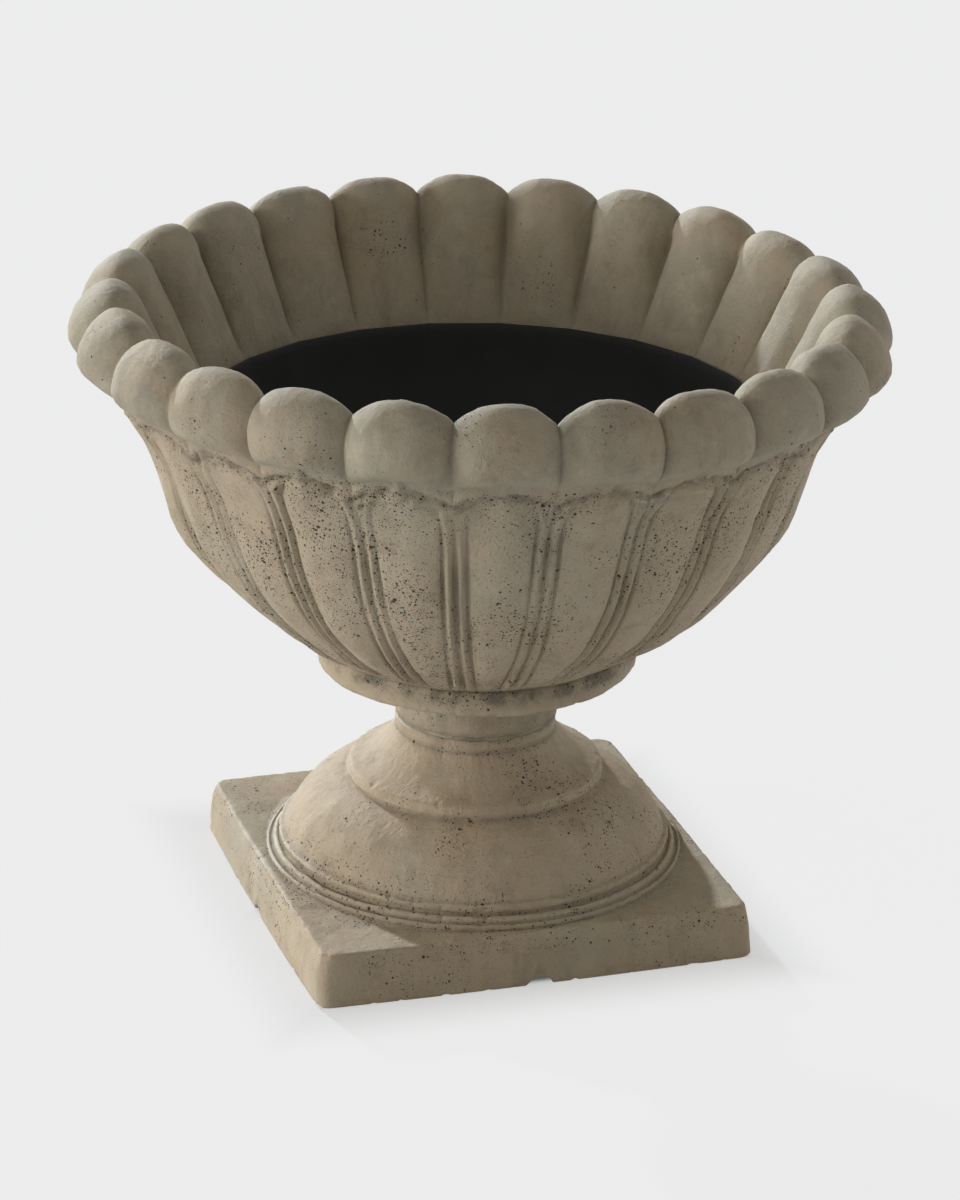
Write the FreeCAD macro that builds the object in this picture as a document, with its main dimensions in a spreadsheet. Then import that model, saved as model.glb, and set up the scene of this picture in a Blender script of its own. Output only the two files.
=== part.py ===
import FreeCAD, Part
import math
import os

import Sketcher

# Urn planter: a scalloped concrete bowl bedded on a hollow pedestal, with a lift-out liner.
# Millimetres. +Z is up and the origin is on the floor, under the middle of the plinth.
# Heights in a sub-part are measured from that sub-part's own underside.

DIMENSIONS = {
    # Plinth
    "plinth_side": 337.0,          # at the floor, by the corners
    "plinth_bow": 3.0,             # how far the middle of each side stands out from its ends
    "plinth_batter": 6.0,          # how far each side leans in by the top
    "plinth_belly": 1.4,           # how far each side swells half-way up
    "plinth_height": 40.6,
    "plinth_corner": 9.0,          # radius of the upright corners at the floor
    "plinth_top_corner": 5.0,
    # Socle, from the plinth up to the neck
    "base_ring_radius": 158.0,
    "base_ring_height": 3.4,
    "ledge_radius": 149.0,
    "ledge_rise": 7.0,
    "ledge_hollow": 1.5,
    "ledge_height": 4.4,
    "bell_radius": 146.0,
    "bell_foot_rise": 2.6,
    "bell_height": 44.6,
    "bell_top_radius": 97.4,
    "bell_bulge": 8.0,
    "step_ridge_reach": 1.2,       # the step's ridge stands out from the bell's top
    "step_ridge_rise": 4.4,
    "step_inset": 3.1,             # how far the step draws in over its ridge
    "step_height": 5.0,
    "cavetto_height": 28.0,
    "cavetto_hollow": 4.0,
    "neck_radius": 61.0,
    "neck_quirk": 1.0,             # the small step where the cavetto meets the neck
    "neck_ring_height": 11.0,
    # Hollow under the pedestal
    "hollow_radius": 128.0,
    "hollow_draft": 8.0,
    "hollow_wall_height": 48.0,
    "hollow_dome_height": 52.0,
    "hollow_dome_radius": 46.0,
    "hollow_dome_bulge": 10.0,
    "notch_radius": 11.0,
    "notch_drop": 3.0,             # the notch's centre is this far under the floor
    # Mortar bed
    "mortar_thickness": 3.0,
    "mortar_inset": 1.6,           # the joint is raked back this far
    # Upper neck and collar of the bowl
    "band_height": 17.0,
    "bead_height": 3.0,
    "bead_bulge": 1.2,
    "throat_radius": 58.0,
    "throat_height": 12.0,
    "collar_radius": 120.6,
    "collar_rise": 9.8,
    "collar_under_hollow": 3.0,
    "collar_edge": 4.0,            # the rounding along the collar's lower edge
    "collar_height": 19.7,
    "collar_top_inset": 0.6,
    "floor_thickness": 32.7,       # from the collar's underside to the bowl's floor
    # Bowl wall at the middle of a petal
    "turn_reach": 17.0,            # the wall turns out over the collar and then up
    "turn_rise": 5.5,
    "turn_bulge": 1.0,
    "belly_reach": 56.4,
    "belly_rise": 53.5,
    "belly_bulge": 3.0,
    "shoulder_inset": 60.0,        # the wall's shoulder, in from the rim's outer edge
    "shoulder_rise": 91.5,
    "shoulder_bulge": 6.5,
    "cove_inset": 31.0,
    "cove_rise": 60.0,
    "cove_hollow": 3.5,
    "petal_depth": 3.0,            # how far the wall draws in between two petals
    # Rim lobes
    "lobe_count": 24,
    "rim_radius": 305.0,
    "lip_inset": 19.0,             # the lobe's lower edge, in from its outer edge
    "lip_rise": 15.0,
    "nose_rise": 12.0,             # from the lobe's lower edge to its widest point
    "nose_bulge": 3.2,
    "crest_inset": 32.0,
    "crest_rise": 41.0,
    "crest_bulge": 8.0,
    "lobe_valley_depth": 16.0,     # how far the outside draws in between two lobes
    "crest_valley_depth": 14.5,
    "inner_shoulder_inset": 57.0,
    "inner_shoulder_drop": 22.0,
    "inner_shoulder_bulge": 5.0,
    "flute_valley_depth": 11.0,
    # Inside of the bowl
    "opening_radius": 215.5,
    "opening_depth": 106.0,        # from the lobes' tops down to the flutes' lower ends
    "flute_foot_depth": 3.0,
    "flute_foot_height": 2.5,
    "inner_bulge": 21.0,
    "inner_corner_radius": 112.0,
    "inner_corner_rise": 6.0,
    "bowl_turn": 1.27,             # degrees that the bowl was set round from the plinth
    # Drain sleeve
    "sleeve_radius": 21.0,
    "sleeve_wall": 2.5,
    "sleeve_below_joint": 26.0,
    "sleeve_recess": 1.0,          # the sleeve stops this far under the bowl's floor
    "sleeve_clearance": 0.3,       # round the sleeve in the pedestal
    # Planting liner
    "seat_gap": 0.3,               # under a piece that lifts out
    "liner_clearance": 1.2,
    "liner_wall": 2.6,
    "liner_foot_height": 5.0,
    "liner_foot_radius": 84.0,
    "liner_foot_width": 6.0,
    "liner_foot_gap": 18.0,        # water runs out through gaps in the foot ring
    "drain_hole_radius": 12.0,
    # Drain plug
    "plug_clearance": 0.3,
    "plug_stem_below": 6.0,        # how far the stem shows under the liner's floor
    "plug_head_radius": 18.0,
    "plug_head_height": 4.0,
    "plug_tab_width": 14.0,
    "plug_tab_height": 13.0,
    "plug_tab_thickness": 4.0,
    # How far one feature of a piece reaches into the solid that carries it
    "hold": 8.0,
}

SHEET = "Sizes"


class Size:
    """A length with the text that yields it from the sheet."""

    def __init__(self, value, text):
        self.value = value
        self.text = text

    def __add__(self, other):
        other = as_size(other)
        return Size(self.value + other.value, f"({self.text} + {other.text})")

    def __sub__(self, other):
        other = as_size(other)
        return Size(self.value - other.value, f"({self.text} - {other.text})")

    def __mul__(self, other):
        other = as_size(other)
        return Size(self.value * other.value, f"({self.text} * {other.text})")

    def __truediv__(self, other):
        other = as_size(other)
        return Size(self.value / other.value, f"({self.text} / {other.text})")


def as_size(value):
    return value if isinstance(value, Size) else Size(float(value), repr(float(value)))


def size(name):
    return Size(DIMENSIONS[name], f"{SHEET}.{name}")


def span(point, other):
    """The distance between two points of a profile."""
    across = other[0] - point[0]
    up = other[1] - point[1]
    length = math.hypot(across.value, up.value)
    return Size(length, f"sqrt({across.text} ^ 2 + {up.text} ^ 2)")


def bulge_point(start, end, bulge):
    """The middle of an arc that stands out from its chord by the bulge, to the right of it."""
    length = span(start, end)
    across = (end[0] - start[0]) / length
    up = (end[1] - start[1]) / length
    middle = ((start[0] + end[0]) / 2, (start[1] + end[1]) / 2)
    return (middle[0] + up * bulge, middle[1] - across * bulge)


def line(x, z):
    return (as_size(x), as_size(z)), None


def arc(x, z, bulge):
    return (as_size(x), as_size(z)), as_size(bulge)


def write_sheet(doc):
    sheet = doc.addObject("Spreadsheet::Sheet", SHEET)
    for row, (name, value) in enumerate(DIMENSIONS.items(), start=1):
        sheet.set(f"A{row}", name)
        sheet.set(f"B{row}", str(value))
        sheet.setAlias(f"B{row}", name)
    doc.recompute()
    return sheet


def origin_part(body, role):
    return next(item for item in body.Origin.OriginFeatures if item.Role == role)


def new_body(doc, label, level=None, turn=None):
    """A body whose underside is at a level above the floor, turned about the upright axis."""
    body = doc.addObject("PartDesign::Body", label)
    body.Label = label
    body.Placement = FreeCAD.Placement(FreeCAD.Vector(0, 0, 0), FreeCAD.Rotation(FreeCAD.Vector(0, 0, 1), 1))
    body.setExpression("Placement.Rotation.Angle", turn.text if turn else "0")
    if level:
        body.setExpression("Placement.Base.z", level.text)
    return body


def new_sketch(body, name, role="XZ_Plane", level=None, turn=None):
    """A sketch on one of the body's own planes, raised by a level or turned about the sketch's upright."""
    sketch = body.newObject("Sketcher::SketchObject", name)
    sketch.AttachmentSupport = (origin_part(body, role), [""])
    sketch.MapMode = "FlatFace"
    if level:
        sketch.setExpression("AttachmentOffset.Base.z", level.text)
    if turn:
        upright = FreeCAD.Rotation(FreeCAD.Vector(0, 1, 0), turn.value)
        sketch.AttachmentOffset = FreeCAD.Placement(FreeCAD.Vector(0, 0, 0), upright)
        sketch.setExpression("AttachmentOffset.Rotation.Angle", turn.text)
    return sketch


def bind(sketch, kind, *args, to):
    """Add one dimension to a sketch and tie it to the sheet."""
    index = sketch.addConstraint(Sketcher.Constraint(kind, *args, to.value))
    name = f"{kind}_{index}"
    sketch.renameConstraint(index, name)
    sketch.setExpression(f"Constraints.{name}", to.text)


def pin(sketch, geometry, position, point):
    """Hold one point of a sketch at its place on the axes or at its distances from them."""
    on_axis = {0: (-2, "DistanceX"), 1: (-1, "DistanceY")}
    for index, (axis, kind) in on_axis.items():
        if point[index].value == 0:
            sketch.addConstraint(Sketcher.Constraint("PointOnObject", geometry, position, axis))
        else:
            bind(sketch, kind, -1, 1, geometry, position, to=point[index])


def vector(point):
    return FreeCAD.Vector(point[0].value, point[1].value, 0)


def draw_outline(sketch, segments):
    """Draw a closed outline. Each segment runs on from the last one, and the last ends at the first."""
    count = len(segments)
    for index, (end, bulge) in enumerate(segments):
        start = segments[index - 1][0]
        if bulge is None:
            edge = Part.LineSegment(vector(start), vector(end))
        else:
            through = vector(bulge_point(start, end, bulge))
            ends = (start, end) if last_end(bulge) == 2 else (end, start)
            edge = Part.Arc(vector(ends[0]), through, vector(ends[1]))
        sketch.addGeometry(edge, False)
    for index, (end, bulge) in enumerate(segments):
        following = (index + 1) % count
        first_end = 3 - last_end(segments[following][1])
        sketch.addConstraint(Sketcher.Constraint("Coincident", index, last_end(bulge), following, first_end))
        pin(sketch, index, last_end(bulge), end)
    for index, (end, bulge) in enumerate(segments):
        if bulge is not None:
            through = bulge_point(segments[index - 1][0], end, bulge)
            point = sketch.addGeometry(Part.Point(vector(through)), True)
            sketch.addConstraint(Sketcher.Constraint("PointOnObject", point, 1, index))
            pin(sketch, point, 1, through)


def last_end(bulge):
    """Which end of an edge closes its segment. An arc always runs anticlockwise in a sketch."""
    return 1 if bulge is not None and bulge.value < 0 else 2


def draw_circle(sketch, radius, rise=None):
    """A circle on the sketch's origin, or straight over it."""
    centre = (as_size(0), rise or as_size(0))
    index = sketch.addGeometry(Part.Circle(vector(centre), FreeCAD.Vector(0, 0, 1), radius.value), False)
    pin(sketch, index, 3, centre)
    bind(sketch, "Radius", index, to=radius)


def spin(body, name, kind, segments):
    """Turn an outline once round the body's upright axis, as a Revolution or a Groove."""
    sketch = new_sketch(body, f"{name}_outline")
    draw_outline(sketch, segments)
    feature = body.newObject(f"PartDesign::{kind}", name)
    feature.Profile = sketch
    feature.ReferenceAxis = (sketch, ["V_Axis"])
    feature.Angle = 360
    body.Document.recompute()
    return feature


def repeat_round(body, name, feature, count, angle):
    """Copy a feature round the body's upright axis."""
    pattern = body.newObject("PartDesign::PolarPattern", name)
    pattern.Originals = [feature]
    pattern.Axis = (origin_part(body, "Z_Axis"), [""])
    pattern.Angle = angle
    pattern.setExpression("Occurrences", as_size(count).text)
    body.Tip = pattern
    body.Document.recompute()
    return pattern


def ring(doc, label, level, outer, inner, height):
    """A plain flat-ended tube."""
    body = new_body(doc, label, level)
    sketch = new_sketch(body, f"{label}_section", "XY_Plane")
    draw_circle(sketch, outer)
    draw_circle(sketch, inner)
    pad = body.newObject("PartDesign::Pad", f"{label}_length")
    pad.Profile = sketch
    pad.setExpression("Length", height.text)
    doc.recompute()
    return body


def rounded_square(half, corner, bow):
    """The outline of a square with rounded corners and bowed sides, centred on the origin."""
    inner = half - corner
    back = half * -1
    inner_back = inner * -1
    bend = rounding(corner)
    return [
        arc(half, inner, bow),
        arc(inner, half, bend),
        arc(inner_back, half, bow),
        arc(back, inner, bend),
        arc(back, inner_back, bow),
        arc(inner_back, back, bend),
        arc(inner, back, bow),
        arc(half, inner_back, bend),
    ]


def rounding(radius):
    """The bulge of a quarter circle."""
    return radius * (1 - math.sqrt(0.5))


def loft(body, name, sections):
    feature = body.newObject("PartDesign::AdditiveLoft", name)
    feature.Profile = sections[0]
    feature.Sections = sections[1:]
    feature.Ruled = False
    feature.Closed = False
    body.Document.recompute()
    return feature


# Levels and radii that more than one sub-part uses.

BASE_RING_TOP = size("plinth_height") + size("base_ring_height")
LEDGE_FOOT = BASE_RING_TOP + size("ledge_rise")
LEDGE_TOP = LEDGE_FOOT + size("ledge_height")
BELL_FOOT = LEDGE_TOP + size("bell_foot_rise")
BELL_TOP = BELL_FOOT + size("bell_height")
STEP_RIDGE = BELL_TOP + size("step_ridge_rise")
STEP_RADIUS = size("bell_top_radius") + size("step_ridge_reach")
STEP_TOP = STEP_RIDGE + size("step_height")
NECK_FOOT = STEP_TOP + size("cavetto_height")
JOINT = NECK_FOOT + size("neck_ring_height")
BOWL_BASE = JOINT + size("mortar_thickness")

BEAD_TOP = size("band_height") + size("bead_height")
THROAT_TOP = BEAD_TOP + size("throat_height")
COLLAR_FOOT = THROAT_TOP + size("collar_rise")
COLLAR_TOP = COLLAR_FOOT + size("collar_height")
FLOOR = COLLAR_FOOT + size("floor_thickness")

TURN_RADIUS = size("collar_radius") + size("turn_reach")
TURN_LEVEL = COLLAR_TOP + size("turn_rise")
BELLY_RADIUS = TURN_RADIUS + size("belly_reach")
BELLY_LEVEL = TURN_LEVEL + size("belly_rise")
SHOULDER_LEVEL = BELLY_LEVEL + size("shoulder_rise")
COVE_LEVEL = SHOULDER_LEVEL + size("cove_rise")
LIP_LEVEL = COVE_LEVEL + size("lip_rise")
NOSE_LEVEL = LIP_LEVEL + size("nose_rise")
CREST_LEVEL = NOSE_LEVEL + size("crest_rise")
OPENING_LEVEL = CREST_LEVEL - size("opening_depth")

SLEEVE_FOOT = JOINT - size("sleeve_below_joint")
LINER_BASE = BOWL_BASE + FLOOR + size("seat_gap")
PLUG_SEAT = LINER_BASE + size("liner_foot_height") + size("liner_wall") + size("seat_gap")


def build_pedestal(doc):
    body = new_body(doc, "pedestal_casting")
    half = size("plinth_side") / 2
    belly_batter = size("plinth_batter") / 2 - size("plinth_belly")
    corners = [size("plinth_corner"), size("plinth_corner"), size("plinth_top_corner")]
    insets = [as_size(0), belly_batter, size("plinth_batter")]
    levels = [None, size("plinth_height") / 2, size("plinth_height")]
    sections = []
    for index, (inset, corner, level) in enumerate(zip(insets, corners, levels)):
        sketch = new_sketch(body, f"plinth_section_{index + 1}", "XY_Plane", level)
        draw_outline(sketch, rounded_square(half - inset, corner, size("plinth_bow")))
        sections.append(sketch)
    loft(body, "plinth", sections)
    spin(body, "socle", "Revolution", socle_outline())
    spin(body, "hollow", "Groove", hollow_outline())
    sketch = new_sketch(body, "notch_outline")
    draw_circle(sketch, size("notch_radius"), size("notch_drop") * -1)
    notch = body.newObject("PartDesign::Pocket", "notch")
    notch.Profile = sketch
    notch.Type = "ThroughAll"
    notch.Midplane = True
    doc.recompute()
    repeat_round(body, "notches", notch, 2, 90)
    return body


def socle_outline():
    neck = size("neck_radius")
    quirk = size("neck_quirk")
    return [
        line(0, size("plinth_height") / 2),
        line(size("base_ring_radius"), size("plinth_height") / 2),
        line(size("base_ring_radius"), BASE_RING_TOP),
        arc(size("ledge_radius"), LEDGE_FOOT, size("ledge_hollow") * -1),
        line(size("ledge_radius"), LEDGE_TOP),
        line(size("bell_radius"), BELL_FOOT),
        arc(size("bell_top_radius"), BELL_TOP, size("bell_bulge")),
        line(STEP_RADIUS, STEP_RIDGE),
        line(STEP_RADIUS - size("step_inset"), STEP_TOP),
        arc(neck + quirk, NECK_FOOT - quirk, size("cavetto_hollow") * -1),
        line(neck, NECK_FOOT),
        line(neck, JOINT),
        line(0, JOINT),
    ]


def hollow_outline():
    """The hollow under the socle, with a straight bore above it that the drain sleeve comes down."""
    bore = size("sleeve_radius") + size("sleeve_clearance")
    wall_top = size("hollow_wall_height")
    dome_top = wall_top + size("hollow_dome_height")
    return [
        line(0, 0),
        line(size("hollow_radius"), 0),
        line(size("hollow_radius") - size("hollow_draft"), wall_top),
        arc(size("hollow_dome_radius"), dome_top, size("hollow_dome_bulge")),
        line(bore, dome_top),
        line(bore, JOINT),
        line(0, JOINT),
    ]


def build_mortar(doc):
    outer = size("neck_radius") - size("mortar_inset")
    return ring(doc, "neck_mortar_bed", JOINT, outer, size("sleeve_radius"), size("mortar_thickness"))


def build_bowl(doc):
    body = new_body(doc, "bowl_casting", BOWL_BASE, size("bowl_turn"))
    spin(body, "neck_and_collar", "Revolution", collar_outline())
    half_pitch = as_size(180) / size("lobe_count")
    valley = as_size(1)
    crest = as_size(0)
    sections = []
    for index, (depth, turn) in enumerate([(valley, half_pitch * -1), (crest, None), (valley, half_pitch)]):
        sketch = new_sketch(body, f"petal_section_{index + 1}", turn=turn)
        draw_outline(sketch, petal_outline(depth))
        sections.append(sketch)
    petal = loft(body, "petal", sections)
    repeat_round(body, "petals", petal, size("lobe_count"), 360)
    sketch = new_sketch(body, "drain_bore_outline", "XY_Plane")
    draw_circle(sketch, size("sleeve_radius"))
    bore = body.newObject("PartDesign::Pocket", "drain_bore")
    bore.Profile = sketch
    bore.Type = "ThroughAll"
    bore.Reversed = True
    doc.recompute()
    return body


def collar_outline():
    """The neck above the joint, the collar under the bowl and the bowl's flat floor."""
    neck = size("neck_radius")
    core = size("inner_corner_radius")
    edge = size("collar_edge")
    return [
        line(0, 0),
        line(neck, 0),
        line(neck, size("band_height")),
        arc(neck, BEAD_TOP, size("bead_bulge")),
        line(size("throat_radius"), THROAT_TOP),
        arc(size("collar_radius") - edge, COLLAR_FOOT, size("collar_under_hollow") * -1),
        arc(size("collar_radius"), COLLAR_FOOT + edge, rounding(edge)),
        line(size("collar_radius") - size("collar_top_inset"), COLLAR_TOP),
        line(core, COLLAR_TOP),
        line(core, FLOOR),
        line(0, FLOOR),
    ]


def petal_outline(valley):
    """The wall on one plane through the upright axis, at a petal's middle (0) or in a valley (1)."""
    rim = size("rim_radius")
    draw_in = size("petal_depth") * valley
    outer = rim - size("lobe_valley_depth") * valley
    crest = CREST_LEVEL - size("crest_valley_depth") * valley
    inner = rim - size("inner_shoulder_inset") + size("flute_valley_depth") * valley
    flute_foot = size("opening_radius") + size("flute_foot_depth") * valley
    corner = size("inner_corner_radius")
    hold = size("hold")
    return [
        line(size("collar_radius") - hold / 2, COLLAR_TOP - hold / 2),
        arc(TURN_RADIUS, TURN_LEVEL + draw_in, size("turn_bulge")),
        arc(BELLY_RADIUS - draw_in, BELLY_LEVEL, size("belly_bulge")),
        arc(rim - size("shoulder_inset") - draw_in, SHOULDER_LEVEL, size("shoulder_bulge")),
        arc(rim - size("cove_inset") - draw_in, COVE_LEVEL, size("cove_hollow") * -1),
        line(outer - size("lip_inset") + draw_in, LIP_LEVEL),
        arc(outer, NOSE_LEVEL, size("nose_bulge")),
        arc(rim - size("crest_inset"), crest, size("crest_bulge")),
        arc(inner, crest - size("inner_shoulder_drop"), size("inner_shoulder_bulge")),
        line(flute_foot, OPENING_LEVEL + size("flute_foot_height")),
        line(size("opening_radius"), OPENING_LEVEL),
        arc(corner, FLOOR + size("inner_corner_rise"), size("inner_bulge") * -1),
        line(corner - hold, FLOOR - hold / 2),
        line(corner - hold, COLLAR_TOP - hold / 2),
    ]


def build_sleeve(doc):
    bore = size("sleeve_radius") - size("sleeve_wall")
    height = BOWL_BASE + FLOOR - size("sleeve_recess") - SLEEVE_FOOT
    return ring(doc, "drain_sleeve", SLEEVE_FOOT, size("sleeve_radius"), bore, height)


def build_liner(doc):
    body = new_body(doc, "planting_liner", LINER_BASE)
    spin(body, "shell", "Revolution", liner_outline())
    sketch = new_sketch(body, "foot_gap_outline")
    half = size("liner_foot_gap") / 2
    top = size("liner_foot_height")
    draw_outline(sketch, [line(half, 0), line(half, top), line(half * -1, top), line(half * -1, 0)])
    gap = body.newObject("PartDesign::Pocket", "foot_gap")
    gap.Profile = sketch
    gap.Type = "ThroughAll"
    gap.Midplane = True
    doc.recompute()
    repeat_round(body, "foot_gaps", gap, 2, 90)
    return body


def liner_outline():
    """The liner's wall follows the bowl's inside, a clearance away from it."""
    clearance = size("liner_clearance")
    wall = size("liner_wall")
    top = BOWL_BASE + OPENING_LEVEL + clearance - LINER_BASE
    rim = size("opening_radius") - clearance
    corner = size("inner_corner_radius") - clearance
    under = size("liner_foot_height")
    turn = size("inner_corner_rise") + clearance
    foot = size("liner_foot_radius")
    foot_inner = foot - size("liner_foot_width")
    bulge = size("inner_bulge")
    return [
        line(size("drain_hole_radius"), under),
        line(foot_inner, under),
        line(foot_inner, 0),
        line(foot, 0),
        line(foot, under),
        line(corner - clearance, under),
        line(corner, turn),
        arc(rim, top, bulge),
        line(rim - wall, top),
        arc(corner - wall, turn + wall, bulge * -1),
        line(corner - wall * 2, under + wall),
        line(size("drain_hole_radius"), under + wall),
    ]


def build_plug(doc):
    """A rubber plug: stem, head and a pull tab."""
    body = new_body(doc, "drain_plug", PLUG_SEAT)
    stem = size("drain_hole_radius") - size("plug_clearance")
    depth = size("liner_wall") + size("plug_stem_below")
    spin(body, "stem_and_head", "Revolution", [
        line(0, depth * -1),
        line(stem, depth * -1),
        line(stem, 0),
        line(size("plug_head_radius"), 0),
        line(size("plug_head_radius"), size("plug_head_height")),
        line(0, size("plug_head_height")),
    ])
    half = size("plug_tab_width") / 2
    middle = size("plug_head_height") + size("plug_tab_height") - half
    sketch = new_sketch(body, "tab_outline")
    draw_outline(sketch, [
        line(half, size("plug_head_height") / 2),
        line(half, middle),
        arc(half * -1, middle, half),
        line(half * -1, size("plug_head_height") / 2),
    ])
    tab = body.newObject("PartDesign::Pad", "tab")
    tab.Profile = sketch
    tab.Midplane = True
    tab.setExpression("Length", size("plug_tab_thickness").text)
    doc.recompute()
    return body


def main():
    doc = FreeCAD.newDocument("urn_planter")
    write_sheet(doc)
    makers = [build_pedestal, build_mortar, build_bowl, build_sleeve, build_liner, build_plug]
    parts = [make(doc) for make in makers]
    doc.recompute()
    os.makedirs("parts", exist_ok=True)
    for item in doc.Objects:
        if "Invalid" in item.State or "Error" in item.State:
            raise RuntimeError(f"{item.Label}: {item.State}")
    for part in parts:
        if part.Shape.isNull() or not part.Shape.isValid():
            raise RuntimeError(f"{part.Label} has no valid shape")
    for part in parts:
        part.Shape.exportStep(f"parts/{part.Label}.step")
        print(part.Label, len(part.Shape.Solids), round(part.Shape.Volume), part.Shape.BoundBox)


main()
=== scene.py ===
"""Looks of the urn planter: cast concrete bowl on its pedestal, black liner, studio floor and light."""

import logging
import math
from dataclasses import dataclass
from enum import Enum

import bmesh
import bpy
import numpy as np
from mathutils import Matrix, Vector


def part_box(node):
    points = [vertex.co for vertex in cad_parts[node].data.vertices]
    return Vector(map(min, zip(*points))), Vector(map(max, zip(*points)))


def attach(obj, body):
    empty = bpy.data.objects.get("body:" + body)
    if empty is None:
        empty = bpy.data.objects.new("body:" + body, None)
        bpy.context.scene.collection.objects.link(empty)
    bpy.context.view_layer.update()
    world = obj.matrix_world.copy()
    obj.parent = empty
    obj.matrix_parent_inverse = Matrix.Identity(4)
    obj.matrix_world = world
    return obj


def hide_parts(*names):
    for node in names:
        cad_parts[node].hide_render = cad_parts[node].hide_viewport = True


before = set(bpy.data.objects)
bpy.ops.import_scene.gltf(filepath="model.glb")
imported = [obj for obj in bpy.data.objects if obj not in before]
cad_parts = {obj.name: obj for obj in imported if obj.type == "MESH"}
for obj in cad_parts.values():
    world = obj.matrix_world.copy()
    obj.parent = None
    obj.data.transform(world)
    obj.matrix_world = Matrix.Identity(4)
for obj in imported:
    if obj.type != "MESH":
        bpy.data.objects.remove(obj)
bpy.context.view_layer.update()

logging.basicConfig(level=logging.INFO, format="%(message)s")
LOG = logging.getLogger("urn_planter")

Colour = tuple[float, float, float]
Point = tuple[float, float]
Socket = bpy.types.NodeSocket
ORIGIN = (0.0, 0.0, 0.0)
EVEN = (1.0, 1.0, 1.0)
TINY = 1e-9

# The rays that show the backdrop's plain colour.
SEEING_RAYS = ("Camera", "Glossy", "Transmission")

# The curvature that counts as fully ridged, in 1/m, and how often its reading is spread over neighbours.
WEAR_BEND = 120.0
WEAR_SPREADS = 2

# Points closer than this are one point where petals meet, in metres.
JOIN_WITHIN = 0.00004

# The three sizes of unevenness in a casting's skin: name, waves per metre and octaves.
UNEVENNESS = (("Swell", 9.0, 1.0), ("Ripple", 34.0, 2.0), ("Roughness", 120.0, 2.0))


class Body(Enum):
    """The bodies that pieces ride on."""

    STAND = "stand"
    LINER = "liner"
    PLUG = "plug"


class Slot(Enum):
    """The record's material slots."""

    CONCRETE = "concrete"
    MORTAR = "mortar"
    SLEEVE = "sleeve_plastic"
    LINER = "liner_plastic"
    PLUG = "plug_rubber"


# ---------------------------------------------------------------- shader building


class Value:
    """A number that a node puts out, with arithmetic that adds Math nodes."""

    def __init__(self, graph: "Graph", socket: Socket) -> None:
        """Keep the graph and the socket.

        Args:
            graph: The graph that holds the node.
            socket: The output socket.
        """
        self.graph = graph
        self.socket = socket

    def _math(self, operation: str, *values: "Value | float", clamp: bool = False) -> "Value":
        """Add one Math node.

        Args:
            operation: The node's operation.
            values: What goes into it, in order.
            clamp: Whether the result stays between 0 and 1.

        Returns:
            The node's result.
        """
        settings = {"operation": operation, "use_clamp": clamp}
        return self.graph.value("ShaderNodeMath", settings, dict(enumerate(values)))

    def __add__(self, other: "Value | float") -> "Value":
        """Sum."""
        return self._math("ADD", self, other)

    __radd__ = __add__

    def __sub__(self, other: "Value | float") -> "Value":
        """Difference."""
        return self._math("SUBTRACT", self, other)

    def __rsub__(self, other: "Value | float") -> "Value":
        """Difference from a plain number."""
        return self._math("SUBTRACT", other, self)

    def __mul__(self, other: "Value | float") -> "Value":
        """Product."""
        return self._math("MULTIPLY", self, other)

    __rmul__ = __mul__

    def __abs__(self) -> "Value":
        """Size without sign."""
        return self._math("ABSOLUTE", self)

    def most(self, other: "Value | float") -> "Value":
        """The larger of two."""
        return self._math("MAXIMUM", self, other)

    def held(self) -> "Value":
        """The value kept between 0 and 1."""
        return self._math("ADD", self, 0.0, clamp=True)

    def step(self, low: float, high: float) -> "Value":
        """A smooth step from 0 at low to 1 at high. With low above high it falls.

        Args:
            low: Where the result is 0.
            high: Where the result is 1.

        Returns:
            The stepped value.
        """
        inputs = {"Value": self, "From Min": low, "From Max": high}
        return self.graph.value("ShaderNodeMapRange", {"interpolation_type": "SMOOTHSTEP"}, inputs)


class Nodes:
    """The nodes of one tree."""

    def __init__(self, tree: bpy.types.NodeTree) -> None:
        """Keep the tree."""
        self.tree = tree

    def add(self, kind: str, settings: dict, inputs: dict) -> bpy.types.Node:
        """Add a node, set it up and feed its sockets.

        Args:
            kind: The node's type.
            settings: Properties by name.
            inputs: What goes into its sockets.

        Returns:
            The node.
        """
        node = self.tree.nodes.new(kind)
        for key, setting in settings.items():
            setattr(node, key, setting)
        return self.feed(node, inputs)

    def feed(self, node: bpy.types.Node, inputs: dict) -> bpy.types.Node:
        """Set or link a node's sockets.

        Args:
            node: The node.
            inputs: Plain values, sockets or Value objects by socket name or number.

        Returns:
            The same node.
        """
        for key, entry in inputs.items():
            source = entry.socket if isinstance(entry, Value) else entry
            if isinstance(source, Socket):
                self.tree.links.new(source, node.inputs[key])
            else:
                node.inputs[key].default_value = source
        return node


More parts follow.
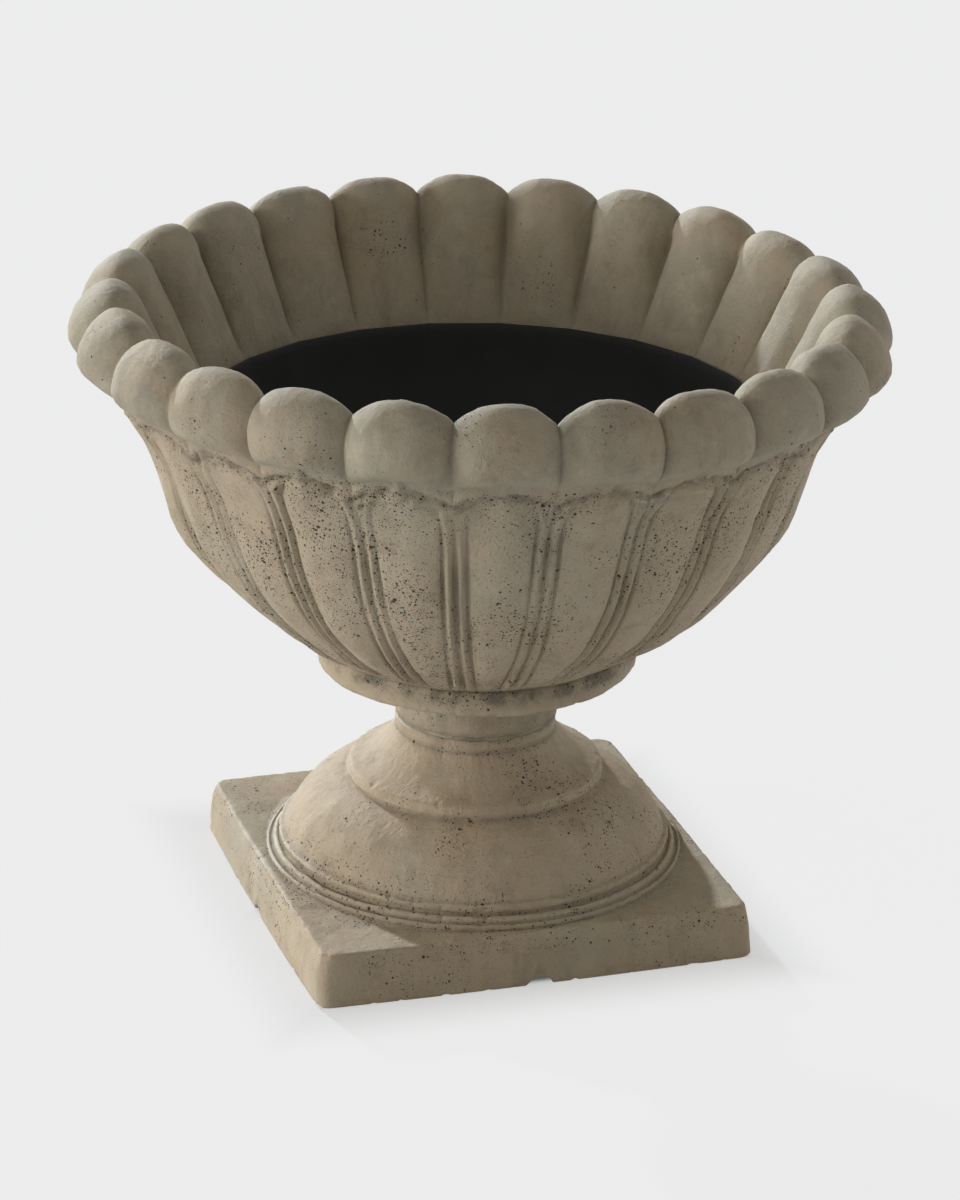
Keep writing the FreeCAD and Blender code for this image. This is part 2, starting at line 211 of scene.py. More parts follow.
class Graph(Nodes):
    """The nodes of one material or of the world."""

    def __init__(self, owner: "bpy.types.Material | bpy.types.World") -> None:
        """Switch the nodes on and find the shader and the coordinates.

        Args:
            owner: What the nodes belong to.
        """
        owner.use_nodes = True
        super().__init__(owner.node_tree)
        self.owner = owner
        self.shader = self._first("BSDF_PRINCIPLED", "BACKGROUND")
        self.place = self.add("ShaderNodeTexCoord", {}, {}).outputs["Object"]

    def _first(self, *kinds: str) -> bpy.types.Node:
        """The tree's first node of one of these types."""
        return next(node for node in self.tree.nodes if node.type in kinds)

    def value(self, kind: str, settings: dict, inputs: dict, output: int | str = 0) -> Value:
        """Add a node and take one of its numbers."""
        return Value(self, self.add(kind, settings, inputs).outputs[output])

    def moved(self, scale: Colour, shift: Colour = ORIGIN, turn: Colour = ORIGIN) -> Socket:
        """Object coordinates, scaled, turned (in radians) and shifted."""
        inputs = {"Vector": self.place, "Scale": scale, "Location": shift, "Rotation": turn}
        return self.add("ShaderNodeMapping", {}, inputs).outputs[0]

    def noise(
        self, scale: float, detail: float, rough: float, warp: float = 0.0, vector: "Socket | None" = None
    ) -> Value:
        """A noise pattern between 0 and 1.

        Args:
            scale: Cells per metre.
            detail: Octaves.
            rough: How much the fine octaves count.
            warp: How much the pattern is bent.
            vector: Moved coordinates, if any.

        Returns:
            The pattern's value.
        """
        inputs = {"Vector": vector or self.place, "Scale": scale, "Detail": detail, "Roughness": rough}
        return self.value("ShaderNodeTexNoise", {}, {**inputs, "Distortion": warp})

    def attribute(self, name: str) -> Value:
        """A number kept on the mesh's points."""
        return self.value("ShaderNodeAttribute", {"attribute_name": name}, {}, "Fac")

    def mix(self, mask: Value, low: "Colour | Socket", high: "Colour | Socket") -> Socket:
        """Mix two colours.

        Args:
            mask: 0 for the low colour and 1 for the high one.
            low: A colour or a colour socket.
            high: A colour or a colour socket.

        Returns:
            The colour socket.
        """
        sides = [side if isinstance(side, Socket) else (*side, 1.0) for side in (low, high)]
        settings = {"data_type": "RGBA", "clamp_factor": True}
        return self.add("ShaderNodeMix", settings, {0: mask, 6: sides[0], 7: sides[1]}).outputs[2]

    def paint(self, base: Colour, layers: "tuple[tuple[Value, Colour], ...]") -> Socket:
        """Lay colours over a base, one after another.

        Args:
            base: The colour underneath.
            layers: A mask and a colour for each layer.

        Returns:
            The colour socket.
        """
        colour = base
        for mask, tint in layers:
            colour = self.mix(mask, colour, tint)
        return colour

    def seen(self) -> Value:
        """1 for what the camera sees, straight or in gloss and glass, and 0 for the light on the object."""
        rays = self.add("ShaderNodeLightPath", {}, {}).outputs
        direct, gloss, glass = (Value(self, rays[f"Is {ray} Ray"]) for ray in SEEING_RAYS)
        return direct.most(gloss).most(glass)

    def backdrop(self, kind: str, colour: Colour, share: Value) -> None:
        """Show a plain colour in place of the shader, to rays that the camera sends.

        Args:
            kind: The type of the node that shows the colour.
            colour: The plain colour.
            share: How much of it shows.
        """
        plain = self.add(kind, {}, {"Color": (*colour, 1.0)}).outputs[0]
        mix = self.add("ShaderNodeMixShader", {}, {0: share, 1: self.shader.outputs[0], 2: plain})
        self.feed(self._first("OUTPUT_MATERIAL", "OUTPUT_WORLD"), {"Surface": mix.outputs[0]})

    def finish(self, colour: Socket, roughness: "Value | float", relief: Value, depth: float) -> None:
        """Feed the shader.

        Args:
            colour: The base colour.
            roughness: The roughness.
            relief: How high the surface stands.
            depth: How high a relief of 1 is, in metres.
        """
        bump = self.add("ShaderNodeBump", {}, {"Height": relief, "Distance": depth, "Strength": 1.0})
        self.feed(self.shader, {"Base Color": colour, "Roughness": roughness, "Normal": bump.outputs[0]})


# ---------------------------------------------------------------- finishes


@dataclass(frozen=True)
class CastConcrete:
    """Weathered cast concrete: mottled skin, pinholes in clusters, worn ridges, and painted shade in its
    creases, hollows and air holes.
    """

    name: str = "cast_concrete"
    warm: Colour = (0.525, 0.412, 0.278)
    cool: Colour = (0.435, 0.385, 0.283)
    pale: Colour = (0.650, 0.553, 0.398)
    # Pale wear on ridges; on the pedestal's lit side it is partly a painted highlight.
    dust: Colour = (0.800, 0.760, 0.670)
    # Dark colour for real blotches, streaks and grains, and for the painted shade in creases and hollows.
    crease: Colour = (0.215, 0.180, 0.125)
    # Near black for the air holes: painted shade inside them.
    hole: Colour = (0.022, 0.017, 0.011)
    specular: float = 0.42
    cloud_scale: float = 5.0
    patch_scale: float = 17.0
    mottle_scale: float = 55.0
    grain_scale: float = 420.0
    sand_scale: float = 1500.0
    streak_scale: float = 34.0
    cluster_scale: float = 15.0
    fine_cells: float = 430.0
    pepper_cells: float = 900.0
    wide_cells: float = 210.0
    depth: float = 0.0011

    def build(self) -> bpy.types.Material:
        """Make the material.

        Returns:
            The material.
        """
        graph = Graph(bpy.data.materials.new(self.name))
        graph.feed(graph.shader, {"Specular IOR Level": self.specular})
        ridge, crease, dirt_and_shade, tone = (graph.attribute(name) for name in ("ridge", "crease", "dirt_and_shade", "tone"))
        cloud = graph.noise(self.cloud_scale, 4.0, 0.6, 0.6)
        patch = graph.noise(self.patch_scale, 4.0, 0.6, 1.0)
        mottle = graph.noise(self.mottle_scale, 4.0, 0.65)
        grain = graph.noise(self.grain_scale, 3.0, 0.7)
        sand = graph.noise(self.sand_scale, 2.0, 0.6)
        streak = graph.noise(self.streak_scale, 3.0, 0.6, 0.4, graph.moved((1.0, 1.0, 0.18)))
        worn = (ridge * (patch * 0.4 + mottle * 0.5 + grain * 0.5)).step(0.42, 0.85)
        holes = self._pinholes(graph, dirt_and_shade, crease)
        colour = graph.paint(self.warm, (
            # Large cool patches, fewer where the tone is sandy.
            ((cloud * 0.55 + patch * 0.45 - tone * 0.2 + 0.09).step(0.38, 0.62), self.cool),
            (tone.step(0.5, 1.0) * 0.28, self.pale),
            # Pale and dark blotches, and dark runs down the skin.
            ((patch * 0.5 + mottle * 0.5).step(0.5, 0.7) * 0.6, self.pale),
            ((patch * 0.4 + mottle * 0.6).step(0.5, 0.3) * 0.4, self.crease),
            (streak.step(0.52, 0.72) * 0.28, self.crease),
            # Pale and dark grains of sand.
            (grain.step(0.52, 0.8) * 0.35, self.pale),
            (grain.step(0.48, 0.2) * 0.38, self.crease),
            # Painted shade in creases; painted shade under the lobes, round the collar and in other hollows,
            # with some real dirt patches; pale wear on ridges, which on the pedestal is partly a painted
            # highlight on its lit side; and the air holes.
            (crease * (0.16 + 0.45 * mottle), self.crease),
            (dirt_and_shade * (0.1 + 0.6 * mottle.step(0.35, 0.65)), self.crease),
            (worn * 0.55, self.dust),
            # The air holes are painted near black, as painted shade inside them.
            ((holes * 0.94).held(), self.hole),
        ))
        relief = (mottle - 0.5) * 1.3 + (grain - 0.5) * 0.5 + (sand - 0.5) * 0.2
        relief = relief - holes * 1.4 - worn * 0.12 + self._scribbles(graph) * 0.22
        graph.finish(colour, 0.6 + 0.14 * grain + 0.12 * patch, relief, self.depth)
        return graph.owner

    def _pinholes(self, graph: Graph, dirt_and_shade: Value, crease: Value) -> Value:
        """Air holes: a fine scatter in clusters, specks like pepper, and a few large ones.

        Args:
            graph: The material's graph.
            dirt_and_shade: Where dirt gathers and where shade is painted.
            crease: Where the surface is hollow.

        Returns:
            How deep the holes are, from 0 to 1.
        """
        cluster = graph.noise(self.cluster_scale, 4.0, 0.65, vector=graph.moved(EVEN, (3.1, 1.7, 0.4)))
        pitted = graph.attribute("pitted")
        crowd = (cluster + dirt_and_shade * 0.08 + crease * 0.05 + pitted * 0.24).step(0.56, 0.86)
        ragged = (graph.noise(1400.0, 2.0, 0.6) - 0.5) * 0.3
        near, size, there = self._scatter(graph, self.fine_cells, crowd * 0.55 + 0.008)
        fine = (near + ragged - size * 0.45).step(0.19, 0.10) * there
        near, size, there = self._scatter(graph, self.pepper_cells, crowd * 0.3 + pitted * 0.06)
        pepper = (near - size * 0.4).step(0.30, 0.16) * there
        near, size, there = self._scatter(graph, self.wide_cells, crowd * 0.2 + 0.034, (0.37, 0.11, 0.23))
        wide = (near + ragged * 0.6 - size * 0.9).step(0.14, 0.07) * there
        return fine.most(wide).most(pepper * 0.7)

    @staticmethod
    def _scatter(graph: Graph, scale: float, share: Value, shift: Colour = ORIGIN) -> tuple[Value, ...]:
        """Cells, a share of which hold a hole.

        Args:
            graph: The material's graph.
            scale: Cells per metre.
            share: The share of cells with a hole.
            shift: A shift of the pattern.

        Returns:
            The distance to the cell's point, the hole's size, and 1 where there is a hole.
        """
        vector = graph.place if shift == ORIGIN else graph.moved(EVEN, shift)
        inputs = {"Vector": vector, "Scale": scale, "Randomness": 1.0}
        cells = graph.add("ShaderNodeTexVoronoi", {"feature": "F1"}, inputs)
        chance = graph.value("ShaderNodeSeparateColor", {}, {0: cells.outputs["Color"]})
        size = (chance - 1.0 + share).held()
        return Value(graph, cells.outputs["Distance"]), size, size.step(0.0, 0.02)

    @staticmethod
    def _scribbles(graph: Graph) -> Value:
        """Fine raised lines left by the mould."""
        bends = graph.noise(30.0, 2.0, 0.5, 1.6, graph.moved((1.0, 1.0, 0.55), (0.9, 0.2, 0.5)))
        place = graph.noise(4.0, 1.0, 0.5, vector=graph.moved(EVEN, (7.3, 2.2, 1.1)))
        return abs(bends - 0.5).step(0.012, 0.0) * place.step(0.5, 0.6)


@dataclass(frozen=True)
class RoughMortar:
    """Sandy jointing mortar, darker and greener than the castings."""

    name: str = "bedding_mortar"
    dark: Colour = (0.260, 0.235, 0.165)
    pale: Colour = (0.470, 0.410, 0.300)
    roughness: float = 0.93
    depth: float = 0.0012

    def build(self) -> bpy.types.Material:
        """Make the material.

        Returns:
            The material.
        """
        graph = Graph(bpy.data.materials.new(self.name))
        patch = graph.noise(60.0, 4.0, 0.65)
        grain = graph.noise(700.0, 3.0, 0.7)
        colour = graph.mix((patch * 0.6 + grain * 0.4).step(0.35, 0.65), self.dark, self.pale)
        graph.finish(colour, self.roughness, patch * 0.5 + grain * 0.5, self.depth)
        return graph.owner


@dataclass(frozen=True)
class MouldedPlastic:
    """Moulded plastic with a faint skin texture, smudges and dust."""

    name: str
    colour: Colour
    dust: Colour
    roughness: float = 0.5
    smudge: float = 0.2
    shine: float = 0.4
    depth: float = 0.00006

    def build(self) -> bpy.types.Material:
        """Make the material.

        Returns:
            The material.
        """
        graph = Graph(bpy.data.materials.new(self.name))
        graph.feed(graph.shader, {"Specular IOR Level": self.shine})
        cloud = graph.noise(7.0, 4.0, 0.6, 0.8)
        wipe = graph.noise(26.0, 4.0, 0.6, 0.5, graph.moved((1.0, 0.35, 1.0), turn=(0.0, 0.0, 0.5)))
        speck = graph.noise(900.0, 2.0, 0.6)
        film = (cloud * 0.6 + wipe * 0.4).step(0.42, 0.75) * self.smudge + speck.step(0.68, 0.8) * 0.12
        colour = graph.mix(film, self.colour, self.dust)
        graph.finish(colour, self.roughness + 0.18 * film + 0.1 * (wipe - 0.5), speck, self.depth)
        return graph.owner


class Finishes:
    """The object's materials by slot."""

    def __init__(self) -> None:
        """Build each material once."""
        black = MouldedPlastic(
            "black_liner_plastic", (0.0215, 0.0215, 0.0218), (0.055, 0.055, 0.055), 0.7, 0.3, 0.2)
        pipe = MouldedPlastic("grey_pipe_plastic", (0.300, 0.300, 0.290), (0.420, 0.400, 0.360), 0.42, 0.4)
        rubber = MouldedPlastic("black_rubber", (0.016, 0.016, 0.016), (0.075, 0.070, 0.062), 0.7, 0.4)
        self.by_slot = {
            Slot.CONCRETE: CastConcrete().build(),
            Slot.MORTAR: RoughMortar().build(),
            Slot.LINER: black.build(),
            Slot.SLEEVE: pipe.build(),
            Slot.PLUG: rubber.build(),
        }


# ---------------------------------------------------------------- profiles and meshes


@dataclass(frozen=True)
class Run:
    """One run of a profile, from the end of the run before it."""

    radius: float
    height: float
    rows: int
    bulge: float = 0.0


def trace(start: Point, runs: list[Run]) -> np.ndarray:
    """Sample a profile of straight runs and arcs.

    Args:
        start: The first point, as radius and height.
        runs: The runs, in order. A bulge above 0 stands out to the right of the way it runs.

    Returns:
        One row of radius and height for each sample, the first point left out.
    """
    points = []
    last = np.array(start)
    for run in runs:
        end = np.array((run.radius, run.height))
        along = end - last
        length = float(np.hypot(*along))
        right = np.array((along[1], -along[0])) / max(length, TINY)
        for step in np.arange(1, run.rows + 1) / run.rows:
            points.append(last + along * step + right * run.bulge * 4.0 * step * (1.0 - step))
        last = end
    return np.array(points)


def soften(values: np.ndarray, hold: np.ndarray) -> np.ndarray:
    """Round the corners of closed rows of points.

    Args:
        values: The points, first axis along the profile.
        hold: 0 for rows that move freely and 1 for rows that stay.

    Returns:
        The softened points.
    """
    free = (1.0 - hold).reshape(-1, *([1] * (values.ndim - 1)))
    mean = 0.25 * np.roll(values, 1, axis=0) + 0.5 * values + 0.25 * np.roll(values, -1, axis=0)
    return values * (1.0 - free) + mean * free


def bump_at(values: np.ndarray, middle: "np.ndarray | float", width: "np.ndarray | float") -> np.ndarray:
    """A bell curve of height 1."""
    return np.exp(-(((values - middle) / width) ** 2))


def ease(values: np.ndarray, low: float, high: float) -> np.ndarray:
    """A smooth step from 0 at low to 1 at high."""
    share = np.clip((values - low) / (high - low), 0.0, 1.0)
    return share * share * (3.0 - 2.0 * share)


def grid_mesh(name: str, points: np.ndarray, rows_close: bool, columns_close: bool) -> bpy.types.Mesh:
    """A mesh of four-sided faces over a grid of points.

    Args:
        name: The mesh's name.
        points: An array of rows by columns by three.
        rows_close: Whether the last row joins the first.
        columns_close: Whether the last column joins the first.

    Returns:
        The mesh.
    """
    rows, columns = points.shape[:2]
    index = np.arange(rows * columns).reshape(rows, columns)
    if rows_close:
        index = np.vstack([index, index[:1]])
    if columns_close:
        index = np.hstack([index, index[:, :1]])
    quads = np.stack([index[:-1, :-1], index[:-1, 1:], index[1:, 1:], index[1:, :-1]], axis=-1).reshape(-1, 4)
    mesh = bpy.data.meshes.new(name)
    mesh.vertices.add(rows * columns)
    mesh.vertices.foreach_set("co", points.astype(np.float32).ravel())
    mesh.loops.add(quads.size)
    mesh.loops.foreach_set("vertex_index", quads.astype(np.int32).ravel())
    mesh.polygons.add(len(quads))
    mesh.polygons.foreach_set("loop_start", np.arange(0, quads.size, 4, dtype=np.int32))
    mesh.update(calc_edges=True)
    return mesh


def store(mesh: bpy.types.Mesh, name: str, values: np.ndarray) -> None:
    """Keep a number for each point of a mesh."""
    attribute = mesh.attributes.get(name) or mesh.attributes.new(name, "FLOAT", "POINT")
    attribute.data.foreach_set("value", values.astype(np.float32).ravel())


def read(source: bpy.types.bpy_prop_collection, name: str, width: int = 1) -> np.ndarray:
    """Read a property of every entry of a mesh's list.

    Args:
        source: The list, such as the mesh's points.
        name: The property.
        width: How many numbers each entry has.

    Returns:
        An array with one row for each entry, or a plain row of numbers where the width is 1.
    """
    values = np.zeros(len(source) * width, np.float32)
    source.foreach_get(name, values)
    return (values if width == 1 else values.reshape(-1, width)).astype(float)


def recall(mesh: bpy.types.Mesh, name: str) -> np.ndarray:
    """Read a number kept for each point of a mesh."""
    return read(mesh.attributes[name].data, "value")


def positions(mesh: bpy.types.Mesh) -> np.ndarray:
    """The mesh's points as an array."""
    return read(mesh.vertices, "co", 3)


def place_points(mesh: bpy.types.Mesh, points: np.ndarray) -> None:
    """Move the mesh's points."""
    mesh.vertices.foreach_set("co", points.astype(np.float32).ravel())
    mesh.update()


def point_normals(mesh: bpy.types.Mesh) -> np.ndarray:
    """The mesh's normals at its points."""
    return read(mesh.vertex_normals, "vector", 3)


def read_wear(mesh: bpy.types.Mesh) -> np.ndarray:
    """Find the mesh's ridges and creases and keep them as "ridge" and "crease".

    Args:
        mesh: The mesh.

    Returns:
        The ridges, one number for each point.
    """
    points, normals = positions(mesh), point_normals(mesh)
    ends = np.zeros(len(mesh.edges) * 2, np.int32)
    mesh.edges.foreach_get("vertices", ends)
    first, second = ends.reshape(-1, 2).T
    size = len(points)
    along = points[second] - points[first]
    length = np.maximum((along**2).sum(1), 1e-12)
    count = np.bincount(first, minlength=size) + np.bincount(second, minlength=size)
    bend = np.bincount(first, -2.0 * (along * normals[first]).sum(1) / length, size)
    bend += np.bincount(second, 2.0 * (along * normals[second]).sum(1) / length, size)
    bend /= count
    for _ in range(WEAR_SPREADS):
        spread = np.bincount(first, bend[second], size) + np.bincount(second, bend[first], size)
        bend = 0.5 * bend + 0.5 * spread / count
    store(mesh, "ridge", np.clip(bend / WEAR_BEND, 0.0, 1.0))
    store(mesh, "crease", np.clip(-bend / WEAR_BEND, 0.0, 1.0))
    return recall(mesh, "ridge")


@dataclass(frozen=True)
class Flakes:
    """Small flakes that break off ridges, in two sizes. Lengths are in metres."""

    fine: float
    broad: float
    seed: int
    broad_share: float
    least: float
    depth: float
    grip: float

    def wear(self, mesh: bpy.types.Mesh) -> None:
        """Wear the flakes off a mesh whose ridges are known."""
        points, normals = positions(mesh), point_normals(mesh)
        spots = waves(points, self.fine, self.seed)
        spots = spots + self.broad_share * waves(points, self.broad, self.seed + 1)
        flakes = np.clip(spots - self.least, 0.0, 1.0)
        depth = self.depth * flakes * np.clip(recall(mesh, "ridge") * self.grip, 0.0, 1.0)
        place_points(mesh, points - normals * depth[:, None])


@dataclass(frozen=True)
class Unevenness:
    """How far a casting's skin goes in and out, in metres, at three sizes."""

    swell: float
    ripple: float
    roughness: float
    seed: float

    def inputs(self, material: bpy.types.Material) -> dict:
        """What a skin's node tree is given."""
        shares = {"Swell": self.swell, "Ripple": self.ripple, "Roughness": self.roughness}
        return {**shares, "Seed": self.seed, "Material": material}


def drop_in(name: str, mesh: bpy.types.Mesh) -> bpy.types.Object:
    """Link a new object for a mesh."""
    piece = bpy.data.objects.new(name, mesh)
    bpy.context.scene.collection.objects.link(piece)
    return piece


# ---------------------------------------------------------------- geometry nodes


class ShapeTree(Nodes):
    """A geometry node tree with named inputs."""

    def __init__(self, name: str, inputs: dict[str, tuple[str, "float | None"]]) -> None:
        """Make the tree and its sockets.

        Args:
            name: The tree's name.
            inputs: Socket type and default value by input name.
        """
        super().__init__(bpy.data.node_groups.new(name, "GeometryNodeTree"))
        self.tree.is_modifier = True
        face = self.tree.interface
        face.new_socket("Geometry", in_out="INPUT", socket_type="NodeSocketGeometry")
        self.names = {}
        for key, (kind, default) in inputs.items():
            socket = face.new_socket(key, in_out="INPUT", socket_type=kind)
            if default is not None:
                socket.default_value = default
            self.names[key] = socket.identifier
        face.new_socket("Geometry", in_out="OUTPUT", socket_type="NodeSocketGeometry")
        self.start = self.add("NodeGroupInput", {}, {})
        self.end = self.add("NodeGroupOutput", {}, {})

    def given(self, name: str) -> Socket:
        """The socket of a named input."""
        return self.start.outputs[name]

    def math(self, operation: str, first: "Socket | float", second: "Socket | float") -> Socket:
        """Work out one number."""
        return self.add("ShaderNodeMath", {"operation": operation}, {0: first, 1: second}).outputs[0]

    def weather(self, geometry: Socket) -> Socket:
        """Push the skin in and out along its normal, as hand casting leaves it.

        The points' "give" says how far each may move, from 0 to 1.

        Args:
            geometry: The skin.

        Returns:
            The uneven skin.
        """
        place = self.add("GeometryNodeInputPosition", {}, {}).outputs[0]
        push = None
        for share, scale, detail in UNEVENNESS:
            inputs = {"Vector": place, "W": self.given("Seed"), "Scale": scale, "Detail": detail}
            noise = self.add("ShaderNodeTexNoise", {"noise_dimensions": "4D"}, inputs).outputs[0]
            level = self.math("MULTIPLY", self.math("SUBTRACT", noise, 0.5), self.given(share))
            push = self.math("ADD", push, level) if push else level
        give = self.add("GeometryNodeInputNamedAttribute", {"data_type": "FLOAT"}, {"Name": "give"})
        push = self.math("MULTIPLY", push, give.outputs[0])
        normal = self.add("GeometryNodeInputNormal", {}, {}).outputs[0]
        inputs = {0: normal, "Scale": push}
        offset = self.add("ShaderNodeVectorMath", {"operation": "SCALE"}, inputs).outputs[0]
        return self.add("GeometryNodeSetPosition", {}, {"Geometry": geometry, "Offset": offset}).outputs[0]

    def close(self, geometry: Socket) -> None:
        """End the tree with real geometry in the given material."""
        real = self.add("GeometryNodeRealizeInstances", {}, {"Geometry": geometry}).outputs[0]
        inputs = {"Geometry": real, "Material": self.given("Material")}
        self.feed(self.end, {0: self.add("GeometryNodeSetMaterial", {}, inputs).outputs[0]})

    def apply_to(self, piece: bpy.types.Object, values: dict) -> bpy.types.Object:
        """Run the tree on a piece and keep the result as a plain mesh.

        Args:
            piece: The piece, whose mesh is replaced.
            values: Input values by name.

        Returns:
            The same piece.
        """
        modifier = piece.modifiers.new("nodes", "NODES")
        modifier.node_group = self.tree
        for key, entry in values.items():
            modifier[self.names[key]] = entry
        graph = bpy.context.evaluated_depsgraph_get()
        result = bpy.data.meshes.new_from_object(piece.evaluated_get(graph))
        piece.modifiers.clear()
        old, piece.data = piece.data, result
        bpy.data.meshes.remove(old)
        return piece


SKIN_INPUTS = {
    "Swell": ("NodeSocketFloat", 0.001),
    "Ripple": ("NodeSocketFloat", 0.0005),
    "Roughness": ("NodeSocketFloat", 0.0002),
    "Seed": ("NodeSocketFloat", 0.0),
    "Material": ("NodeSocketMaterial", None),
}


def skin_tree() -> ShapeTree:
    """The tree that makes a smooth casting uneven."""
    tree = ShapeTree("uneven_skin", SKIN_INPUTS)
    tree.close(tree.weather(tree.given("Geometry")))
    return tree


def petal_ring_tree() -> ShapeTree:
    """The tree that repeats one petal round the axis, joins the petals and makes the skin uneven."""
    inputs = {"Count": ("NodeSocketInt", 24), "Turn": ("NodeSocketFloat", 0.0), **SKIN_INPUTS}
    tree = ShapeTree("petal_ring", inputs)
    spots = tree.add("GeometryNodePoints", {}, {"Count": tree.given("Count")}).outputs[0]
    index = tree.add("GeometryNodeInputIndex", {}, {}).outputs[0]
    pitch = tree.math("DIVIDE", math.tau, tree.given("Count"))
    turn = tree.math("ADD", tree.math("MULTIPLY", index, pitch), tree.given("Turn"))
    angles = tree.add("ShaderNodeCombineXYZ", {}, {"Z": turn}).outputs[0]
    rotation = tree.add("FunctionNodeEulerToRotation", {}, {0: angles}).outputs[0]
    inputs = {"Points": spots, "Instance": tree.given("Geometry"), "Rotation": rotation}
    copies = tree.add("GeometryNodeInstanceOnPoints", {}, inputs).outputs[0]
    real = tree.add("GeometryNodeRealizeInstances", {}, {"Geometry": copies}).outputs[0]
    inputs = {"Geometry": real, "Distance": JOIN_WITHIN}
    joined = tree.add("GeometryNodeMergeByDistance", {}, inputs).outputs[0]
    tree.close(tree.weather(joined))
    return tree


# ---------------------------------------------------------------- shared shapes


class Zone(Enum):
    """How a stretch of a petal's profile is shaped across the petal."""

    PLAIN = ("plain", 2.0)
    WALL = ("wall", 2.0)
    LOBE = ("lobe", 2.5)
    FLUTE = ("flute", 3.0)
    HIDDEN = ("hidden", 2.0)

    @property
    def power(self) -> float:
        """How late the profile leaves the petal's middle shape on its way to the valley's."""
        return self.value[1]


@dataclass(frozen=True)
class Stop:
    """A stop on a profile, in metres, with how far it moves in the valley between two petals."""

    radius: float
    height: float
    rows: int
    bulge: float = 0.0
    inward: float = 0.0
    down: float = 0.0
    zone: Zone = Zone.PLAIN

    def run(self, valley: float) -> Run:
        """The stop as a run, at a petal's middle (0) or in the valley (1)."""
        radius, height = self.radius - self.inward * valley, self.height - self.down * valley
        return Run(radius, height, self.rows, self.bulge)


def waves(points: np.ndarray, length: float, seed: int, count: int = 14) -> np.ndarray:
    """Smooth unevenness between about -1 and 1.

    Args:
        points: The points.
        length: The length of a wave, in metres.
        seed: The seed for the waves' ways.
        count: How many waves are added up.

    Returns:
        One number for each point.
    """
    rng = np.random.default_rng(seed)
    ways = rng.normal(size=(count, 3))
    sizes = math.tau / length * rng.uniform(0.6, 1.5, (count, 1))
    ways *= sizes / np.linalg.norm(ways, axis=1, keepdims=True)
    return np.sin(points @ ways.T + rng.uniform(0.0, math.tau, count)).sum(1) * math.sqrt(2.0 / count) * 0.6


def keep_inside(points: np.ndarray, node: str) -> np.ndarray:
    """Hold points inside the node's own box."""
    return np.clip(points, *(np.array(corner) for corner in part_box(node)))


def dress(piece: bpy.types.Object, node: str, body: Body) -> bpy.types.Object:
    """Let a piece stand for a node and ride with its body.

    Args:
        piece: The finished piece.
        node: The node it stands for.
        body: The body it rides on.

    Returns:
        The same piece.
    """
    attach(piece, body.value)
    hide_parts(node)
    LOG.info("%s: %d points", piece.name, len(piece.data.vertices))
    return piece


def present(
    name: str, mesh: bpy.types.Mesh, finish: bpy.types.Material, sharp: "float | None" = None
) -> bpy.types.Object:
    """Give a mesh its finish and smooth shading, and link it.

    Args:
        name: The piece's name.
        mesh: Its mesh.
        finish: Its material.
        sharp: The angle in degrees over which edges stay sharp, if any do.

    Returns:
        The piece.
    """
    mesh.materials.append(finish)
    mesh.shade_smooth()
    if sharp:
        mesh.set_sharp_from_angle(angle=math.radians(sharp))
    return drop_in(name, mesh)


def ring(radius: np.ndarray, height: np.ndarray, angles: np.ndarray) -> np.ndarray:
    """Rows round the upright axis.

    Args:
        radius: Rows by columns, or one for each row.
        height: The same.
        angles: The columns' angles.

    Returns:
        An array of rows by columns by three.
    """
    flat = 0.0 * (radius + angles)
    return np.stack([radius * np.cos(angles), radius * np.sin(angles), height + flat], axis=-1)


def turned(outline: np.ndarray, angles: np.ndarray) -> np.ndarray:
    """Turn an outline of radius and height round the upright axis."""
    return ring(outline[:, :1], outline[:, 1:], angles)


def full_turn(columns: int) -> np.ndarray:
    """The angles of even columns round the axis."""
    return np.linspace(0.0, math.tau, columns, endpoint=False)


def angle_of(points: np.ndarray) -> np.ndarray:
    """The points' angles round the axis."""
    return np.arctan2(points[:, 1], points[:, 0])


def radius_of(points: np.ndarray) -> np.ndarray:
    """The points' distances from the axis."""
    return np.linalg.norm(points[:, :2], axis=1)


# ---------------------------------------------------------------- the bowl


